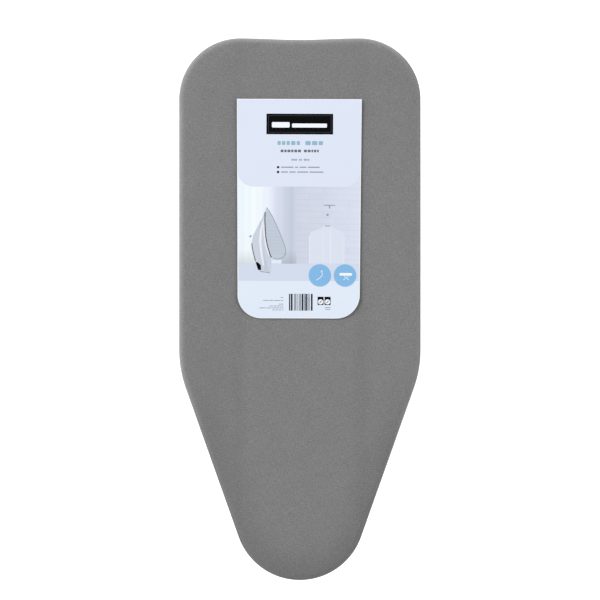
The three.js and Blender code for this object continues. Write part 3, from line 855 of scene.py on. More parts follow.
def build_stitching(material):
    """One row of stitches holding the hem's tail to the return, on the underside."""
    outline = Outline(arc_step=HEM_ARC_STEP, line_step=HEM_LINE_STEP)
    fold, _ = gather_waves(outline)
    line = outline.ring(STITCH_INSET - 0.1, RETURN_Z - 0.1 - CLOTH)
    line[:, 2] -= gathered(outline, STITCH_INSET, fold)
    line = pulled_in(line)
    line = np.vstack([line, line[:1]])
    along = np.concatenate([[0.0], np.cumsum(np.linalg.norm(np.diff(line, axis=0), axis=1))])
    pitch = 3.2
    count = round(along[-1] / pitch)
    points, faces = [], []
    ring_angles = np.arange(6) * math.pi / 3
    for k in range(count):
        middle = (k + 0.5) * along[-1] / count
        spots = np.array([[np.interp(middle + d, along, line[:, axis]) for axis in range(3)]
                          for d in (-1.15, -0.8, 0.0, 0.8, 1.15)])
        forward = spots[-1] - spots[0]
        forward /= np.linalg.norm(forward)
        side = np.cross(forward, (0, 0, 1))
        side /= np.linalg.norm(side)
        up = np.cross(side, forward)
        first = len(points)
        for spot, width in zip(spots, (0.10, 0.24, 0.27, 0.24, 0.10)):
            dip = (0.27 - width) * 1.6
            for a in ring_angles:
                points.append(spot + up * (dip - 0.02) + width * (side * math.cos(a) + up * math.sin(a)))
        faces += closed_tube(first, len(spots), len(ring_angles))
    return make_piece("hem_stitching", points, faces, material, merge=0.0001, sharp=60)


# ---------- the pad ----------

def build_pad(material):
    """The felt lies on the mesh and folds down over the rim; its top has the cover's sag."""
    outline = Outline(arc_step=3.0, line_step=4.5)
    top, bottom = PAD_HIGH[2], PAD_HIGH[2] - PAD_THICKNESS
    outer = HALF_WIDTH - PAD_HIGH[0]
    skirt = outer + 3.0  # the folded-down edge is thinner than the top
    curve = EDGE_RADIUS - outer
    profile = [(inset, top) for inset in (FILL_INSET, 50, 40, 30, 22, 15, 11)]
    for angle in np.linspace(math.pi / 2, 0, 7):
        profile.append((outer + curve * (1 - math.cos(angle)), top - curve * (1 - math.sin(angle))))
    profile += [(outer, PAD_LOW[2] + 2), (outer + 0.15, PAD_LOW[2] + 0.5), (outer + 0.8, PAD_LOW[2])]
    profile += [(skirt - 0.8, PAD_LOW[2]), (skirt - 0.15, PAD_LOW[2] + 0.5), (skirt, PAD_LOW[2] + 2)]
    for angle in np.linspace(0, math.pi / 2, 6):
        profile.append((skirt + PAD_THICKNESS * (1 - math.cos(angle)),
                        bottom - PAD_THICKNESS * (1 - math.sin(angle))))
    profile += [(inset, bottom) for inset in (12, 20, 35, FILL_INSET)]
    rings = [lay_down(ring) for ring in fill_rings(outline, top, np.linspace(1, 0, 11)[:-1])]
    for inset, z in profile:
        ring = outline.ring(inset, z)
        if z > bottom + 0.5:
            sag = surface_sag(ring[:, 0], ring[:, 1]) - edge_roll(inset)
            ring[:, 2] += smoothstep(bottom, top, z) * sag
        if inset < skirt - 1 or z > bottom + 0.5:
            ring = pulled_in(ring)
        rings.append(ring)
    rings += fill_rings(outline, bottom, np.linspace(0, 1, 5)[1:])
    faces = grid_faces(len(rings), len(outline))
    pad = make_piece("ironing_pad_visual", rings, faces, material, merge=0.005, sharp=60)
    return pad


# ---------- the steel top ----------

MESH_LONG = 14.0  # long way of an opening, across the board
MESH_SHORT = 7.0
MESH_STRAND = 1.7
MESH_STEEL = 0.8
MESH_TILT = 0.2  # how far each strand is turned out of the sheet


def build_mesh_panel(material):
    """Expanded steel: rows of diamonds, each drawn as its strands round one opening."""
    outline = Outline(arc_step=2.0, line_step=2.0)
    edge = RIM_INSET - TUBE_RADIUS / 3
    points, faces = [], []
    half_long, half_short = MESH_LONG / 2, MESH_SHORT / 2
    open_long = half_long - MESH_STRAND * 1.15
    open_short = half_short - MESH_STRAND * 0.62
    side_long, side_short = open_long * 0.36, open_short * 0.74  # the middle of each rounded side
    rows = int(HALF_LENGTH / half_short) + 1
    columns = int(HALF_WIDTH / MESH_LONG) + 2
    centres = np.array([((column + 0.5 * (row % 2)) * MESH_LONG, row * half_short)
                        for row in range(-rows, rows + 1) for column in range(-columns, columns + 1)])
    insets, _ = inset_of(outline, centres)
    for x, y in centres[insets > edge - half_long * 0.6]:
        first = len(points)
        outer = [(half_long, 0), (0, half_short), (-half_long, 0), (0, -half_short)]
        inner = [(open_long, 0), (side_long, side_short), (0, open_short), (-side_long, side_short),
                 (-open_long, 0), (-side_long, -side_short), (0, -open_short), (side_long, -side_short)]
        points += [(x + dx, y + dy, 0.0) for dx, dy in outer]
        points += [(x + dx, y + dy, MESH_TILT * dy / open_short) for dx, dy in inner]
        for corner in range(4):
            here, there = first + corner, first + (corner + 1) % 4
            a, b, c = (first + 4 + (2 * corner + i) % 8 for i in range(3))
            faces += [[here, b, a], [here, there, b], [there, c, b]]
    points = np.array(points)
    insets, nearest = inset_of(outline, points[:, :2])
    outside = insets < edge
    points[outside, :2] = outline.inset(edge)[nearest[outside]]
    points[:, 2] += (MESH_HIGH[2] + MESH_LOW[2]) / 2
    obj = make_object("mesh_panel_visual", points, faces)
    with mesh_edit(obj) as bm:
        bmesh.ops.remove_doubles(bm, verts=bm.verts, dist=0.02 * MM)
        bmesh.ops.dissolve_degenerate(bm, edges=bm.edges, dist=0.01 * MM)
        flat = [face for face in bm.faces if face.calc_area() < 1e-9]
        bmesh.ops.delete(bm, geom=flat, context="FACES")
        for face in bm.faces:
            if face.normal.z < 0:
                face.normal_flip()
    modify(obj, "SOLIDIFY", thickness=MESH_STEEL * MM, offset=0)
    shade(obj, 35)
    return finish_piece(obj, material)


def build_rim(material):
    """The rim's tube, with the flattened weld seam along its inner side."""
    outline = Outline(arc_step=3.5, line_step=5.0)
    rings = []
    for k, angle in enumerate(round_angles(28)):
        radius = TUBE_RADIUS - (0.05 if k == 0 else 0.0)
        rings.append(outline.ring(RIM_INSET + radius * math.cos(angle), RIM_Z + radius * math.sin(angle)))
    faces = grid_faces(len(rings), len(outline), wrap_rows=True)
    return make_piece("rim_tube_visual", rings, faces, material, sharp=60)


def build_weld_beads(material):
    """Short rippled fillets where each rail's flanges meet the rim."""
    outline = Outline(arc_step=0.5, line_step=0.5)
    line = outline.inset(RIM_INSET + TUBE_RADIUS)
    points, faces = [], []
    sides, steps = 10, 13
    for rail in (-1, 1):
        for flange in (-1, 1):
            for end in (-1, 1):
                x = rail * RAIL_X + flange * (RAIL_CROWN / 2 + 3.5)
                gaps = np.abs(line[:, 0] - x) + 1000 * (np.sign(line[:, 1]) != end)
                spot = int(np.argmin(gaps))
                first = len(points)
                for step in range(steps):
                    off_middle = step - steps // 2
                    station = (spot + off_middle) % len(line)
                    bead = 0.95 * math.sqrt(max(0.0, 1 - (off_middle / (steps / 2)) ** 2)) + 0.05
                    bead *= 1 + 0.12 * (step % 2)
                    for angle in round_angles(sides):
                        flat = line[station] - outline.normals[station] * (0.35 + bead * math.cos(angle))
                        points.append((flat[0], flat[1], RIM_Z + TUBE_RADIUS - 1.9 + bead * math.sin(angle)))
                faces += closed_tube(first, steps, sides)
    return make_piece("rail_weld_beads", points, faces, material, merge=0.001, sharp=60)


# ---------- the legs ----------

def filleted_path(corners, segments):
    """Points along straight runs with rounded corners. Each corner is (x, z, bend radius)."""
    points = [np.array(corners[0][:2], float)]
    for before, here, after in zip(corners, corners[1:], corners[2:]):
        corner, radius = np.array(here[:2], float), here[2]
        incoming = corner - np.array(before[:2], float)
        outgoing = np.array(after[:2], float) - corner
        incoming /= np.linalg.norm(incoming)
        outgoing /= np.linalg.norm(outgoing)
        cross = incoming[0] * outgoing[1] - incoming[1] * outgoing[0]
        turn = math.atan2(cross, float(incoming @ outgoing))
        start = corner - incoming * radius * math.tan(abs(turn) / 2)
        centre = start + np.array([-incoming[1], incoming[0]]) * math.copysign(radius, turn)
        for angle in np.linspace(0, turn, segments):
            c, s = math.cos(angle), math.sin(angle)
            arm = start - centre
            points.append(centre + np.array([c * arm[0] - s * arm[1], s * arm[0] + c * arm[1]]))
    points.append(np.array(corners[-1][:2], float))
    return np.array(points)


def tube_sections(path, radius, sides):
    """Round sections along a path in the X-Z plane, as rings of points."""
    angles = 2 * math.pi * (np.arange(sides) + 0.5) / sides
    sideways = radius * np.cos(angles)
    rings = []
    for point, direction in zip(path, directions(path)):
        rings.append(np.column_stack([point[0] - direction[1] * sideways, -radius * np.sin(angles),
                                      point[1] + direction[0] * sideways]))
    return np.array(rings)


def set_on_leg(points, end):
    """Points in the leg's own frame, pivot at the origin and leg downwards, moved to their place."""
    x, y, z = np.asarray(points, float).reshape(-1, 3).T
    placed = np.column_stack([x, y * math.cos(SPLAY) - z * math.sin(SPLAY),
                              y * math.sin(SPLAY) + z * math.cos(SPLAY)])
    placed[:, :2] *= ENDS[end]
    return placed + PIVOTS[f"{end}_leg"]


def move_mesh(obj, end):
    """Takes a mesh made about the pivot to its place on the leg."""
    points = np.empty(len(obj.data.vertices) * 3, np.float32)
    obj.data.vertices.foreach_get("co", points)
    placed = set_on_leg(points.reshape(-1, 3) / MM, end) * MM
    obj.data.vertices.foreach_set("co", placed.astype(np.float32).ravel())
    obj.data.update()


def build_leg_tube(end, material):
    """A bent U of steel tube, cross-drilled near both open ends for the pivots."""
    corner = LEG_ARM_X + (LEG_LENGTH - LEG_FLARE_START) * math.tan(LEG_FLARE)
    half = [(LEG_ARM_X, LEG_TOP, 0), (LEG_ARM_X, -LEG_FLARE_START, LEG_FLARE_BEND),
            (corner, -LEG_LENGTH, LEG_CORNER_BEND)]
    path = filleted_path(half + [(-x, z, radius) for x, z, radius in reversed(half)], 9)
    sides = 32
    outer = tube_sections(path, TUBE_RADIUS, sides)
    inner = tube_sections(path, TUBE_RADIUS - TUBE_WALL, sides)[::-1]
    rings = np.concatenate([outer, inner])
    obj = make_object(f"{end}_leg_tube_visual", rings, grid_faces(len(rings), sides, wrap_rows=True))
    clean(obj)
    hole, faces = rod_along_x(PIVOT_HOLE, 20)
    drill(obj, *[(hole + (side * LEG_ARM_X, 0, 0), faces) for side in (-1, 1)])
    move_mesh(obj, end)
    shade(obj)
    return finish_piece(obj, material, f"{end}_leg")


def build_rivet(node, shank, head, grip, along_x, material):
    """A rivet with two domed heads and a small upset dimple in each, about its CAD node's middle.
    Shank and head are radii, and grip is what it holds together."""
    half = grip / 2
    dome = [(shank, half), (head - 0.12, half), (head, half + 0.12), (head * 0.97, half + 0.55)]
    for angle in np.linspace(0.45, math.pi / 2, 6):
        dome.append((head * math.cos(angle), half + RIVET_HEAD_HEIGHT * math.sin(angle)))
    dome[-1] = (head * 0.22, half + RIVET_HEAD_HEIGHT * 0.93)
    dome.append((0.001, half + RIVET_HEAD_HEIGHT * 0.84))
    profile = [(r, -z) for r, z in reversed(dome)] + dome
    points, faces = turned(profile)
    if along_x:
        points = points[:, [2, 0, 1]]
    low, high = node_box(node)
    return make_piece(f"{node}_visual", points + (low + high) / 2, faces, material, sharp=50)


def build_plug(node, end, x, material):
    """A moulded plug: a stem in the tube, a rim and a domed head, cross-drilled for the pivot."""
    stem, seat, head = TUBE_RADIUS - TUBE_WALL - 0.3, LEG_TOP + 0.3, 2.3
    profile = [(0.001, -5.0), (stem - 0.5, -5.0), (stem, -4.5), (stem, seat), (TUBE_RADIUS - 0.15, seat),
               (TUBE_RADIUS, seat + 0.15), (TUBE_RADIUS, seat + 0.55)]
    for angle in np.linspace(0.25, math.pi / 2 - 0.02, 7):
        profile.append((TUBE_RADIUS * math.cos(angle), seat + 0.5 + (head - 0.5) * math.sin(angle)))
    profile.append((0.001, seat + head))
    points, faces = turned(profile)
    obj = make_object(f"{node}_visual", points, faces)
    clean(obj)
    drill(obj, rod_along_x(PIVOT_HOLE, 20))
    obj.data.transform(Matrix.Translation((ENDS[end] * x * MM, 0, 0)))
    move_mesh(obj, end)
    shade(obj)
    return finish_piece(obj, material, f"{end}_leg")


def foot_section(shrink, sides=48):
    """The foot's outline in its Y-Z plane: round, with a flat tread underneath."""
    half = FOOT_FLAT / 2
    first = -math.acos(half / FOOT_RADIUS)
    round_part = np.linspace(first, math.pi - first, sides - 8)
    rim = [((FOOT_RADIUS - shrink) * math.cos(a), (FOOT_RADIUS - shrink) * math.sin(a)) for a in round_part]
    tread = [(y, -FOOT_DROP + shrink) for y in np.linspace(-half + shrink, half - shrink, 8)]
    return np.array(rim + tread)


def build_foot(node, end, x, material):
    """A rubber sleeve with rounded ends, grip grooves and a chamfered bore."""
    half = FOOT_LENGTH / 2
    profile = [(-half, 1.3), (-half + 0.25, 0.65), (-half + 0.7, 0.2), (-half + 1.3, 0.0)]
    grooves = 5
    spacing = (FOOT_LENGTH - 6.0) / grooves
    for k in range(grooves):
        middle = -half + 3.0 + spacing * (k + 0.5)
        profile += [(middle - 1.1, 0.0), (middle - 0.7, 0.12), (middle - 0.45, 0.75), (middle + 0.45, 0.75),
                    (middle + 0.7, 0.12), (middle + 1.1, 0.0)]
    profile += [(-at, shrink) for at, shrink in reversed(profile[:4])]
    sides = 48
    outer = [np.column_stack([np.full(sides, at), foot_section(shrink)]) for at, shrink in profile]
    angles = np.arctan2(outer[0][:, 2], outer[0][:, 1])
    bore = [np.column_stack([np.full(sides, at), radius * np.cos(angles), radius * np.sin(angles)])
            for at, radius in ((half, FOOT_BORE + 0.5), (half - 0.6, FOOT_BORE), (-half + 0.6, FOOT_BORE),
                               (-half, FOOT_BORE + 0.5))]
    rings = np.array(outer + bore)
    points = rings.reshape(-1, 3)
    y, z = points[:, 1].copy(), points[:, 2].copy()
    upright = -SPLAY  # the tread lies on the table while the leg leans
    points[:, 1] = y * math.cos(upright) - z * math.sin(upright)
    points[:, 2] = y * math.sin(upright) + z * math.cos(upright) - LEG_LENGTH
    points[:, 0] += ENDS[end] * x
    faces = grid_faces(len(rings), sides, wrap_rows=True)
    return make_piece(f"{node}_visual", set_on_leg(points, end), faces, material, f"{end}_leg",
                      sharp=30)


# ---------- the card and its print ----------

def card_lift(u, v):
    """How far the card stands off the cover. It lifts a little along its sides and more at its corners."""
    side = (np.abs(u) / (CARD_TOP_WIDTH / 2)) ** 3
    near_top = smoothstep(60, 0, v)
    near_bottom = smoothstep(CARD_LENGTH - 70, CARD_LENGTH, v)
    at_sides = side * (0.12 + 0.55 * near_top + 0.75 * near_bottom)
    return at_sides + 0.15 * near_top ** 2 + 0.2 * near_bottom ** 2


def on_card(points):
    """Points (right of the card's middle, below its top edge, above its underside) put in their place."""
    u, v, height = np.asarray(points, float).T
    z = CARD_LOW[2] + height + card_lift(u, v)
    c, s = math.cos(CARD_TURN), math.sin(CARD_TURN)
    return np.column_stack([CARD_X + c * u + s * v, CARD_TOP_Y + s * u - c * v, z])


def card_half_width(v):
    """Half the card's width at a distance below its top, the rounded bottom corners included."""
    straight = CARD_TOP_WIDTH / 2 + (CARD_BOTTOM_WIDTH - CARD_TOP_WIDTH) / 2 * v / CARD_LENGTH
    into = np.clip(v - (CARD_LENGTH - CARD_CORNER), 0, CARD_CORNER)
    return straight - CARD_CORNER + np.sqrt(CARD_CORNER ** 2 - into ** 2)


def card_outline(top, bottom, margin=0.0):
    """The card's own outline between two distances below its top, kept a margin inside its edges."""
    straight = np.linspace(top, min(bottom, CARD_LENGTH - CARD_CORNER), 6)
    levels = list(straight)
    if bottom > CARD_LENGTH - CARD_CORNER:
        reach = bottom - (CARD_LENGTH - CARD_CORNER)
        angles = np.linspace(0, math.pi / 2, 14)[1:]
        levels += [CARD_LENGTH - CARD_CORNER + reach * math.sin(a) for a in angles]
    right = [(float(card_half_width(min(v, CARD_LENGTH)) - margin), v) for v in levels]
    return right + [(-u, v) for u, v in reversed(right)]


def rounded_box(left, top, right, bottom, radius=0.0, steps=6):
    """A box with rounded corners, in card coordinates."""
    radius = min(radius, (right - left) / 2 - 0.001, (bottom - top) / 2 - 0.001)
    if radius <= 0:
        return [(left, top), (right, top), (right, bottom), (left, bottom)]
    points = []
    for cu, cv, first in ((right - radius, top + radius, -90), (right - radius, bottom - radius, 0),
                          (left + radius, bottom - radius, 90), (left + radius, top + radius, 180)):
        for angle in np.radians(np.linspace(first, first + 90, steps)):
            points.append((cu + radius * math.cos(angle), cv + radius * math.sin(angle)))
    return points


def disc(u, v, radius, sides):
    """A circle on the card, as an outline."""
    return [(u + radius * math.cos(angle), v + radius * math.sin(angle)) for angle in round_angles(sides)]


def stroke(points, width):
    """A line of one width through points, as an outline."""
    points = np.array(points, float)
    along = directions(points)
    side = np.column_stack([-along[:, 1], along[:, 0]]) * width / 2
    return [tuple(p) for p in points + side] + [tuple(p) for p in (points - side)[::-1]]


def words(left, middle, height, widths, gap):
    """A line of plain bars that stands for words."""
    top, bottom = middle - height / 2, middle + height / 2
    boxes = []
    for width in widths:
        boxes.append(rounded_box(left, top, left + width, bottom, height * 0.2, 4))
        left += width + gap
    return boxes


def blocks(left, right, middle, height, counts, seed):
    """A line of words, each a row of plain blocks of uneven width, fitted between two sides."""
    draw = random.Random(seed)
    gap, word_gap = 0.32, 1.3
    rows = [[draw.choice((0.75, 1.0, 1.25)) for _ in range(count)] for count in counts]
    total = sum(sum(row) + gap * (len(row) - 1) for row in rows) + word_gap * (len(rows) - 1)
    unit = (right - left) / total
    boxes = []
    for row in rows:
        boxes += words(left, middle, height, [unit * share for share in row], unit * gap)
        left += unit * (sum(row) + gap * (len(row) - 1) + word_gap)
    return boxes


INK_STEP = 0.035  # from one layer of print to the next
INK = 0.02  # thickness of one layer of print
GRID = 6.0  # wide prints are cut into squares of this size, so that they follow the card


def build_print(name, outlines, level, material):
    """Thin closed shapes lying on the card, all in one ink."""
    bm = bmesh.new()
    for outline in outlines:
        verts = [bm.verts.new((u, v, 0.0)) for u, v in outline]
        bm.faces.new(verts)
    spread = np.array([(vert.co.x, vert.co.y) for vert in bm.verts])
    for axis in (0, 1):
        low, high = spread[:, axis].min(), spread[:, axis].max()
        for cut in np.arange(math.ceil(low / GRID) * GRID, high, GRID):
            plane_point = (cut, 0, 0) if axis == 0 else (0, cut, 0)
            plane_normal = (1, 0, 0) if axis == 0 else (0, 1, 0)
            bmesh.ops.bisect_plane(bm, geom=bm.verts[:] + bm.edges[:] + bm.faces[:], dist=1e-4,
                                   plane_co=plane_point, plane_no=plane_normal)
    bmesh.ops.triangulate(bm, faces=bm.faces)
    height = CARD_THICKNESS + 0.01 + INK_STEP * level
    top = bmesh.ops.extrude_face_region(bm, geom=bm.faces[:])
    for item in top["geom"]:
        if isinstance(item, bmesh.types.BMVert):
            item.co.z = INK
    uv = bm.loops.layers.uv.new("pattern")
    for face in bm.faces:
        for loop in face.loops:
            loop[uv].uv = (loop.vert.co.x * MM, loop.vert.co.y * MM)
    for vert in bm.verts:
        placed = on_card([(vert.co.x, vert.co.y, height + vert.co.z)])[0] * MM
        vert.co = placed
    bmesh.ops.recalc_face_normals(bm, faces=bm.faces)
    mesh = bpy.data.meshes.new(name)
    bm.to_mesh(mesh)
    bm.free()
    return finish_piece(add_object(name, mesh), material)


def build_card(material):
    """The card: thin board with a slight curl."""
    straight = CARD_LENGTH - CARD_CORNER
    round_part = CARD_CORNER * np.sin(np.linspace(0, math.pi / 2, 16))[1:]
    levels = np.concatenate([np.linspace(0, straight, 44), straight + round_part])
    across = np.linspace(-1, 1, 27)
    points, pattern = [], []
    for v in levels:
        half = float(card_half_width(v))
        for share in across:
            points.append((share * half, v, CARD_THICKNESS))
            pattern.append((share * half, v))
    faces = grid_faces(len(levels), len(across), wrap_columns=False)
    obj = make_object("label_card_visual", on_card(points), faces)
    add_uv(obj, np.array(pattern))
    with mesh_edit(obj) as bm:
        bm.faces.ensure_lookup_table()
        if bm.faces[0].normal.z < 0:
            bmesh.ops.reverse_faces(bm, faces=bm.faces)
    modify(obj, "SOLIDIFY", thickness=CARD_THICKNESS * MM, offset=-1)
    shade(obj)
    return finish_piece(obj, material)


def curtain_material():
    """Soft upright folds of a pale curtain, with a deeper fold beside the wall."""
    s = Surface("print_curtain", 0.5, Specular_IOR_Level=0.3)
    where = s.place("UV")
    across = s.span(s.node("SeparateXYZ", "X", Vector=where), 0, 1, -0.080, -0.003)
    base = s.ramp(across, (0.0, seen(234, 245, 252)), (0.3, seen(243, 251, 255)), (0.48, seen(237, 243, 253)),
                  (0.58, seen(232, 237, 251)), (0.62, seen(221, 226, 242)), (0.78, seen(207, 214, 230)),
                  (0.9, seen(196, 205, 220)), (1.0, seen(205, 212, 228)))
    folds = s.span(s.wave(s.place("UV", (1, 0.02, 1)), 9.0, "X", distortion=1.5), 0.985, 1.015)
    low = s.span(s.node("SeparateXYZ", "Y", Vector=where), 1.0, 0.78, 0.194, 0.212)
    return s.finish(s.tint(base, s.times(folds, low)), s.noise(where, 1.1, detail=4.0), 0.008, 0.5)


def wall_material():
    """A pale painted brick wall, its rows a little out of level."""
    s = Surface("print_brick_wall", 0.5, Specular_IOR_Level=0.3)
    where = s.place("UV")
    bricks = s.node("TexBrick", "Color", Vector=s.place("UV", turn=math.radians(-1.5)), Scale=1.0,
                    Brick_Width=34 * MM, Row_Height=7.6 * MM, Mortar_Size=0.7 * MM, Mortar_Smooth=0.8,
                    Color1=seen(215, 221, 236), Color2=seen(213, 219, 235), Mortar=seen(207, 214, 231))
    from_left = s.span(s.node("SeparateXYZ", "X", Vector=where), 0.93, 1.05, 0.0, 0.075)
    cloud = s.patches(where, 20, 0.98, 1.02, detail=3.0)
    return s.finish(s.tint(bricks, s.times(cloud, from_left)), s.noise(where, 1.1, detail=4.0), 0.008, 0.5)


def label_prints(inks):
    """Everything printed on the card, from the back layer to the front. Words are plain bars."""
    middle = 0.7  # the print sits a little right of the card's middle
    panel_bottom, panel_corner = 113.0, 19.0
    picture_top = 90.0  # hidden by the panel
    table_top, table_bottom = 212.4, 234.6
    margin = 1.1  # bare edge round the print
    wall_left = -3.0

    picture = card_outline(picture_top, table_top, margin)
    curtain = [(wall_left, table_top), *[(u, v) for u, v in picture if u < 0], (wall_left, picture_top)]
    wall = [(wall_left, picture_top), *[(u, v) for u, v in picture if u > 0], (wall_left, table_top)]
    build_print("print_curtain_area", [curtain], 0, curtain_material())
    build_print("print_wall_area", [wall], 0, wall_material())
    build_print("print_table_area", [card_outline(table_top, table_bottom, margin)], 0, inks["table"])
    floor = card_outline(table_bottom, CARD_LENGTH - margin, margin)
    build_print("print_floor_area", [floor], 0, inks["pale"])

    half = float(card_half_width(panel_bottom)) - margin
    lower = [point for point in rounded_box(-half, 60, half, panel_bottom, panel_corner, 12) if point[1] > 80]
    top_half = CARD_TOP_WIDTH / 2 - margin
    panel = [(-top_half, margin), (top_half, margin), *lower]
    build_print("print_top_panel", [panel], 1, inks["panel"])

    left, right, top, bottom = middle - 43, middle + 43, 19.0, 45.6
    build_print("print_black_block", [rounded_box(left, top, right, bottom)], 2, inks["black"])
    frame_line = [
        rounded_box(left + 2.4, top + 2.4, right - 2.4, top + 2.7),
        rounded_box(left + 2.4, bottom - 2.7, right - 2.4, bottom - 2.4),
        rounded_box(left + 2.4, top + 3.0, left + 2.7, bottom - 3.0),
        rounded_box(right - 2.7, top + 3.0, right - 2.4, bottom - 3.0),
    ]
    build_print("print_block_frame", frame_line, 3, inks["charcoal"])
    block_bars = words(left + 7, 33.4, 7.0, (23,), 0) + words(left + 33, 34.2, 5.2, (45,), 0)
    build_print("print_block_bars", block_bars, 3, inks["white"])

    heading = blocks(middle - 28.6, middle + 29.9, 56.8, 5.2, (5, 3), 2)
    build_print("print_heading", heading, 2, inks["blue_grey"])
    subheading = blocks(middle - 24.6, middle + 24.6, 67.0, 3.4, (6, 5), 5)
    build_print("print_subheading", subheading, 2, inks["slate"])
    small = blocks(middle - 10.6, middle + 12.4, 78.4, 2.4, (3, 2, 3), 8)
    rows = (((16, 4, 9, 15), 88.0), ((9, 8, 14, 18), 94.2))
    for widths, level in rows:
        small += words(middle - 24, level, 1.5, widths, 1.9)
    build_print("print_small_lines", small, 2, inks["grey"])
    build_print("print_bullets", [disc(middle - 27.8, v, 1.6, 16) for _, v in rows], 2, inks["black"])

    build_iron(inks)
    build_hanger(inks, table_top)
    build_badges(inks, 227.3, 14.4)
    build_bar_pattern(inks)


def build_iron(inks):
    """A plain steam iron standing on its heel."""
    body = [(-42.4, 141), (-45.8, 150), (-49.5, 158), (-54.5, 167), (-59, 176), (-60.6, 184), (-59, 196),
            (-56.6, 207), (-53.5, 217.5), (-49.6, 221), (-36, 223.6), (-35.6, 211), (-37.5, 201), (-41, 188),
            (-43.2, 174), (-43.8, 158)]
    shine = [(-46.5, 156), (-50.5, 170), (-51.6, 184), (-49.6, 199), (-46.2, 215), (-44.4, 215), (-46.6, 199),
             (-48.2, 184), (-47.4, 170), (-45.2, 158)]
    skirt = [(-42.6, 141), (-44.6, 150), (-46, 160), (-45.8, 174), (-43.6, 188), (-40.2, 200), (-37.4, 204.5),
             (-39.8, 192), (-42.4, 178), (-43.4, 162), (-42.6, 150)]
    sole = [(-41.5, 139.5), (-38.2, 144), (-34, 151), (-29, 161), (-23.6, 174), (-19, 185), (-16.6, 194),
            (-18.2, 201), (-22.6, 205.6), (-28.4, 207), (-33.4, 205.4), (-36.8, 201), (-40, 190),
            (-42.4, 177), (-43.4, 163), (-42.8, 149)]
    shadow = [(-50.6, 158), (-48.8, 158), (-48.2, 180), (-45.6, 196), (-40.6, 214), (-38.6, 223),
              (-43.6, 222.2), (-48.2, 205), (-50.8, 185)]
    gap = [(-43.6, 146), (-43.9, 156), (-43.5, 166), (-42.6, 178), (-40.3, 190), (-37.3, 200), (-35.4, 204.4)]
    rim = [(-41.3, 140), (-34, 152), (-24, 174), (-17, 194), (-17.0, 199.6), (-21.6, 205.1), (-28, 206.5),
           (-33.2, 204.9)]
    left_edge = sole[:-6:-1]
    right_edge = sole[1:9]
    vents = []
    for row in range(11):
        v = 157 + row * 4.2
        first = np.interp(v, [p[1] for p in left_edge], [p[0] for p in left_edge]) + 3.0 + row % 2
        last = np.interp(v, [p[1] for p in right_edge], [p[0] for p in right_edge]) - 2.4
        vents += [disc(u, v, 0.5, 8) for u in np.arange(first, last, 2.3)]
    glow = [(-35.2, 207.4), (-22.3, 207.4), (-22.3, 212.2), (-35.2, 212.2)]
    build_print("print_iron_glow", [glow], 1, inks["pale"])
    build_print("print_iron_body", [body], 1, inks["iron"])
    build_print("print_iron_shade", [shadow], 2, inks["sole"])
    build_print("print_iron_shine", [shine, skirt], 3, inks["shine"])
    build_print("print_iron_sole", [sole], 4, inks["sole"])
    knob = [(-63.4, 178.4), (-61.4, 176.0)]
    base = [(-50, 222.2), (-37, 224.2)]
    lines = [stroke(rim, 0.6), stroke(knob, 1.8), stroke(base, 0.8)]
    build_print("print_iron_lines", lines, 5, inks["steel"])
    build_print("print_iron_vents", vents, 5, inks["vent"])
    back = [(-60.6, 186), (-60.2, 191), (-58.6, 199), (-55.8, 209)]
    build_print("print_iron_gap", [stroke(gap, 1.3), stroke(back, 0.9)], 5, inks["charcoal"])
    heel = [(-55.6, 210.3), (-52.6, 210.8), (-48.8, 214.5), (-48.6, 220.8), (-52.4, 220.4)]
    build_print("print_iron_heel", [heel], 5, inks["black"])


def build_hanger(inks, floor):
    """A faint shirt on a hanger against the wall."""
    collar_u, shoulder_v = 37.0, 171.5
    shirt = [(collar_u - 4.5, 163), (collar_u + 4.5, 163), (collar_u + 9, 167), (collar_u + 20.5, shoulder_v),
             (collar_u + 22.5, 178), (collar_u + 22, floor - 0.3), (collar_u - 24, floor - 0.3),
             (collar_u - 24.2, 178), (collar_u - 22, shoulder_v), (collar_u - 9, 167)]
    build_print("print_shirt", [shirt], 1, inks["shirt"])
    lines = [stroke([(collar_u - 23, 178), (collar_u - 23, floor - 0.6)], 1.1),
             stroke([(collar_u - 6, 172), (collar_u - 5.4, floor - 0.6)], 0.9),
             stroke([(collar_u + 3.4, 172), (collar_u + 4.2, floor - 0.6)], 1.3),
             stroke([(collar_u + 21.4, 178), (collar_u + 21, floor - 0.6)], 0.9)]
    build_print("print_shirt_folds", lines, 2, inks["shine"])
    hook = [stroke([(32.4, 136.8), (46.4, 136.8)], 1.0), stroke([(39.4, 137.5), (39.6, 141)], 1.4),
            disc(36.9, 149.2, 1.4, 16), stroke([(33.5, 163.6), (40.5, 163.6)], 1.0)]
    build_print("print_hanger", hook, 3, inks["steel"])


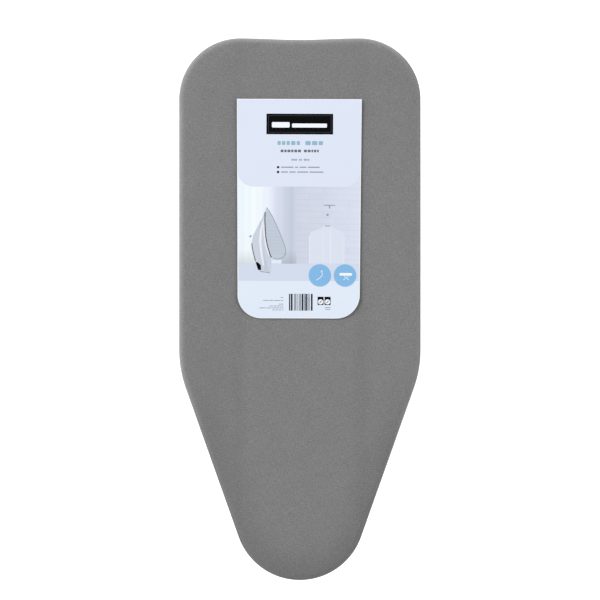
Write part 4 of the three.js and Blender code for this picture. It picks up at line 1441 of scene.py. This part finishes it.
def build_badges(inks, v, radius):
    """Two round badges: a fold arrow and a small table on crossed legs."""
    left, right = 27.2, 59.7
    build_print("print_badges", [disc(left, v, radius, 64), disc(right, v, radius, 64)], 3, inks["badge"])
    rings = []
    for centre in (left, right):
        for quarter in range(4):
            angles = np.linspace(quarter * math.pi / 2 + 0.03, (quarter + 1) * math.pi / 2 - 0.03, 17)
            arc = [(centre + (radius - 1.2) * math.cos(a), v + (radius - 1.2) * math.sin(a)) for a in angles]
            rings.append(stroke(arc, 0.35))
    build_print("print_badge_rims", rings, 4, inks["badge_rim"])
    curve = [(left - 4.6, v + 6.2), (left - 0.6, v + 3.8), (left + 2.8, v + 0.6), (left + 3.4, v - 2.2),
             (left + 2.2, v - 5.4)]
    arrow = [(left + 0.6, v - 3.9), (left + 2.2, v - 7.2), (left + 4.0, v - 4.4)]
    board = rounded_box(right - 7.4, v - 3.2, right + 9.2, v + 0.2, 1.6)
    legs = [stroke([(right - 1.0, v + 0.9), (right + 5.0, v + 5.8)], 0.7),
            stroke([(right + 4.4, v + 0.9), (right + 2.4, v + 2.5)], 0.7),
            stroke([(right + 0.6, v + 3.6), (right - 2.4, v + 5.8)], 0.7)]
    build_print("print_badge_icons", [stroke(curve, 0.8), arrow, board, *legs], 5, inks["white"])


def build_bar_pattern(inks):
    """An upright bar pattern that codes nothing, small lines of bars and two plain stamps."""
    draw = random.Random(7)
    bars = []
    u, end = -12.4, 18.0
    while u < end - 0.4:
        width = draw.choice((0.8, 0.8, 1.5, 2.3))
        bars.append(rounded_box(u, 251.1, min(u + width, end), 272.8))
        u += width + draw.choice((0.8, 1.2, 1.8))
    build_print("print_bar_pattern", bars, 1, inks["dark"])

    stamps = [rounded_box(24.4, 254.8, 32.2, 265.4, 0.5), rounded_box(33.4, 254.8, 41.2, 265.4, 0.5)]
    build_print("print_stamps", stamps, 1, inks["black"])
    centres = [(28.3, 261.4), (37.3, 261.4)]
    build_print("print_stamp_discs", [disc(*centre, 3.3, 24) for centre in centres], 2, inks["white"])
    slants = [stroke([(u - 1.3, v + 1.5), (u + 1.3, v - 1.5)], 1.0) for u, v in centres]
    build_print("print_stamp_slants", slants, 3, inks["charcoal"])

    lines = words(33.8, 268.6, 0.9, (7.2,), 0) + words(34.4, 271.0, 0.9, (6.6,), 0)
    for v, length in ((255.9, 3.4), (259.8, 26), (264.5, 5.8), (266.9, 18), (269.4, 31), (272.0, 14)):
        share = (0.3, 0.22, 0.34, 0.14) if length > 10 else (1.0,)
        gap = 0.9
        widths = [part * (length - gap * (len(share) - 1)) for part in share]
        lines += words(-19.8 - length, v, 0.9, widths, gap)
    build_print("print_fine_lines", lines, 1, inks["grey"])


INKS = {  # how each ink looks on the board's top, as sRGB
    "panel": (223, 231, 247),
    "pale": (226, 236, 250),
    "table": (211, 221, 238),
    "white": (246, 250, 255),
    "black": (14, 14, 16),
    "dark": (44, 46, 52),
    "charcoal": (74, 76, 86),
    "slate": (108, 110, 122),
    "grey": (150, 154, 170),
    "blue_grey": (146, 184, 205),
    "iron": (203, 211, 224),
    "shine": (232, 238, 248),
    "sole": (194, 203, 217),
    "steel": (146, 155, 172),
    "shirt": (221, 227, 241),
    "vent": (176, 184, 200),
    "badge": (130, 186, 231),
    "badge_rim": (146, 198, 236),
}
INK_GLOSS = {"black": 0.02, "dark": 0.1}  # the dark inks shine less, so that they stay dark


def build_label():
    """The card and its print."""
    inks = {name: ink_material(f"ink_{name}", seen(*color), INK_GLOSS.get(name, 0.3))
            for name, color in INKS.items()}
    build_card(ink_material("card_stock", seen(243, 248, 255)))
    label_prints(inks)


# ---------- camera, light and floor ----------

LAMP_WIDTH = 3.0  # metres
LENS = 232.7  # millimetres on a 36 mm sensor
CAMERA_X = 0.25
CAMERA_Y = 11.8
CAMERA_HEIGHT = 5000.0  # above the board's top
LAMPS = {  # where each soft light stands, in metres, and its power
    "soft_light": ((-4.0, 2.4, 2.65), 318.0),
    "fill_light": ((4.0, 0.5, 2.3), 110.0),
}


def build_floor():
    """A wide pale floor that stays white under the board."""
    half = 30.0 / MM
    corners = [(-half, -half, 0), (half, -half, 0), (half, half, 0), (-half, half, 0)]
    floor = make_object("studio_floor", corners, [(0, 1, 2, 3)])
    pale = Surface("studio_paper", 1.0, Specular_IOR_Level=0.0, Base_Color=(0.86, 0.86, 0.86, 1),
                   Emission_Color=(1, 1, 1, 1), Emission_Strength=0.42)
    floor.data.materials.append(pale.material)


def build_room():
    """A white room whose ceiling is dimmer than its walls."""
    world = bpy.data.worlds.new("white_room")
    world.use_nodes = True
    room = Nodes(world.node_tree)
    height = room.node("SeparateXYZ", "Z", Vector=room.node("TexCoord", "Generated"))
    room.fill(room.tree.nodes["Background"], Color=(1, 1, 1, 1), Strength=room.span(height, 1.0, 0.45, 0.25))
    bpy.context.scene.world = world


def build_studio():
    """The floor, the room, a large soft light towards the wide end's left, a weaker one at the right,
    and the camera straight above."""
    build_floor()
    build_room()

    for name, (place, power) in LAMPS.items():
        lamp = bpy.data.lights.new(name, "AREA")
        lamp.shape = "DISK"
        lamp.size = LAMP_WIDTH
        lamp.energy = power
        light = add_object(name, lamp)
        light.location = place
        aim = Vector((0, 0, TOP_Z * MM)) - light.location
        light.rotation_mode = "QUATERNION"
        light.rotation_quaternion = aim.to_track_quat("-Z", "Y")

    camera = add_object("camera", bpy.data.cameras.new("camera"))
    camera.data.sensor_width = 36
    camera.data.lens = LENS
    camera.location = (CAMERA_X * MM, CAMERA_Y * MM, TOP_Z * MM + CAMERA_HEIGHT * MM)
    bpy.context.scene.camera = camera
    bpy.context.scene.view_settings.view_transform = "Standard"


# ---------- assembly ----------

def build_board(paint, zinc):
    """The steel top, its rails, and each leg's brackets and rivets."""
    build_rim(paint)
    build_weld_beads(paint)
    build_mesh_panel(paint)
    for side in ("left", "right"):
        node = f"{side}_stiffener_rail"
        finish_piece(bevelled_copy(node, width=0.22), paint)
    for end in ENDS:
        for hand in ("left", "right"):
            station = f"{end}_{hand}"
            bracket = f"{station}_leg_bracket"
            finish_piece(bevelled_copy(bracket, width=0.35, segments=3), paint)
            build_rivet(f"{station}_pivot_rivet", shank=2.5, head=4.8, grip=16.8, along_x=True, material=zinc)
            for place in ("outer", "inner"):
                build_rivet(f"{station}_{place}_bracket_rivet", shank=2.0, head=3.8, grip=3.2,
                            along_x=False, material=zinc)


def build_legs(paint, plastic, rubber):
    """Both legs, with their plugs and feet."""
    for end in ENDS:
        build_leg_tube(end, paint)
        for hand, side in (("left", -1), ("right", 1)):
            build_plug(f"{end}_{hand}_tube_plug", end, side * LEG_ARM_X, plastic)
            build_foot(f"{end}_{hand}_foot", end, side * FOOT_X, rubber)


def build_soft_layers():
    """The pad and the cover, with its hem."""
    cover, flat_size, flat_area = build_cover(cloth_material())
    elastic = build_elastic(elastic_material())
    stitching = build_stitching(thread_material())
    pad = build_pad(felt_material())


def build_tapes(material):
    """The two tapes that hold the card."""
    for place in ("upper", "lower"):
        node = f"label_{place}_tape"
        finish_piece(bevelled_copy(node, width=0.15), material)


build_studio()
paint = paint_material()
build_soft_layers()
build_board(paint, zinc_material())
build_legs(paint, plastic_material(), rubber_material())
build_label()
build_tapes(tape_material())

bpy.context.view_layer.update()
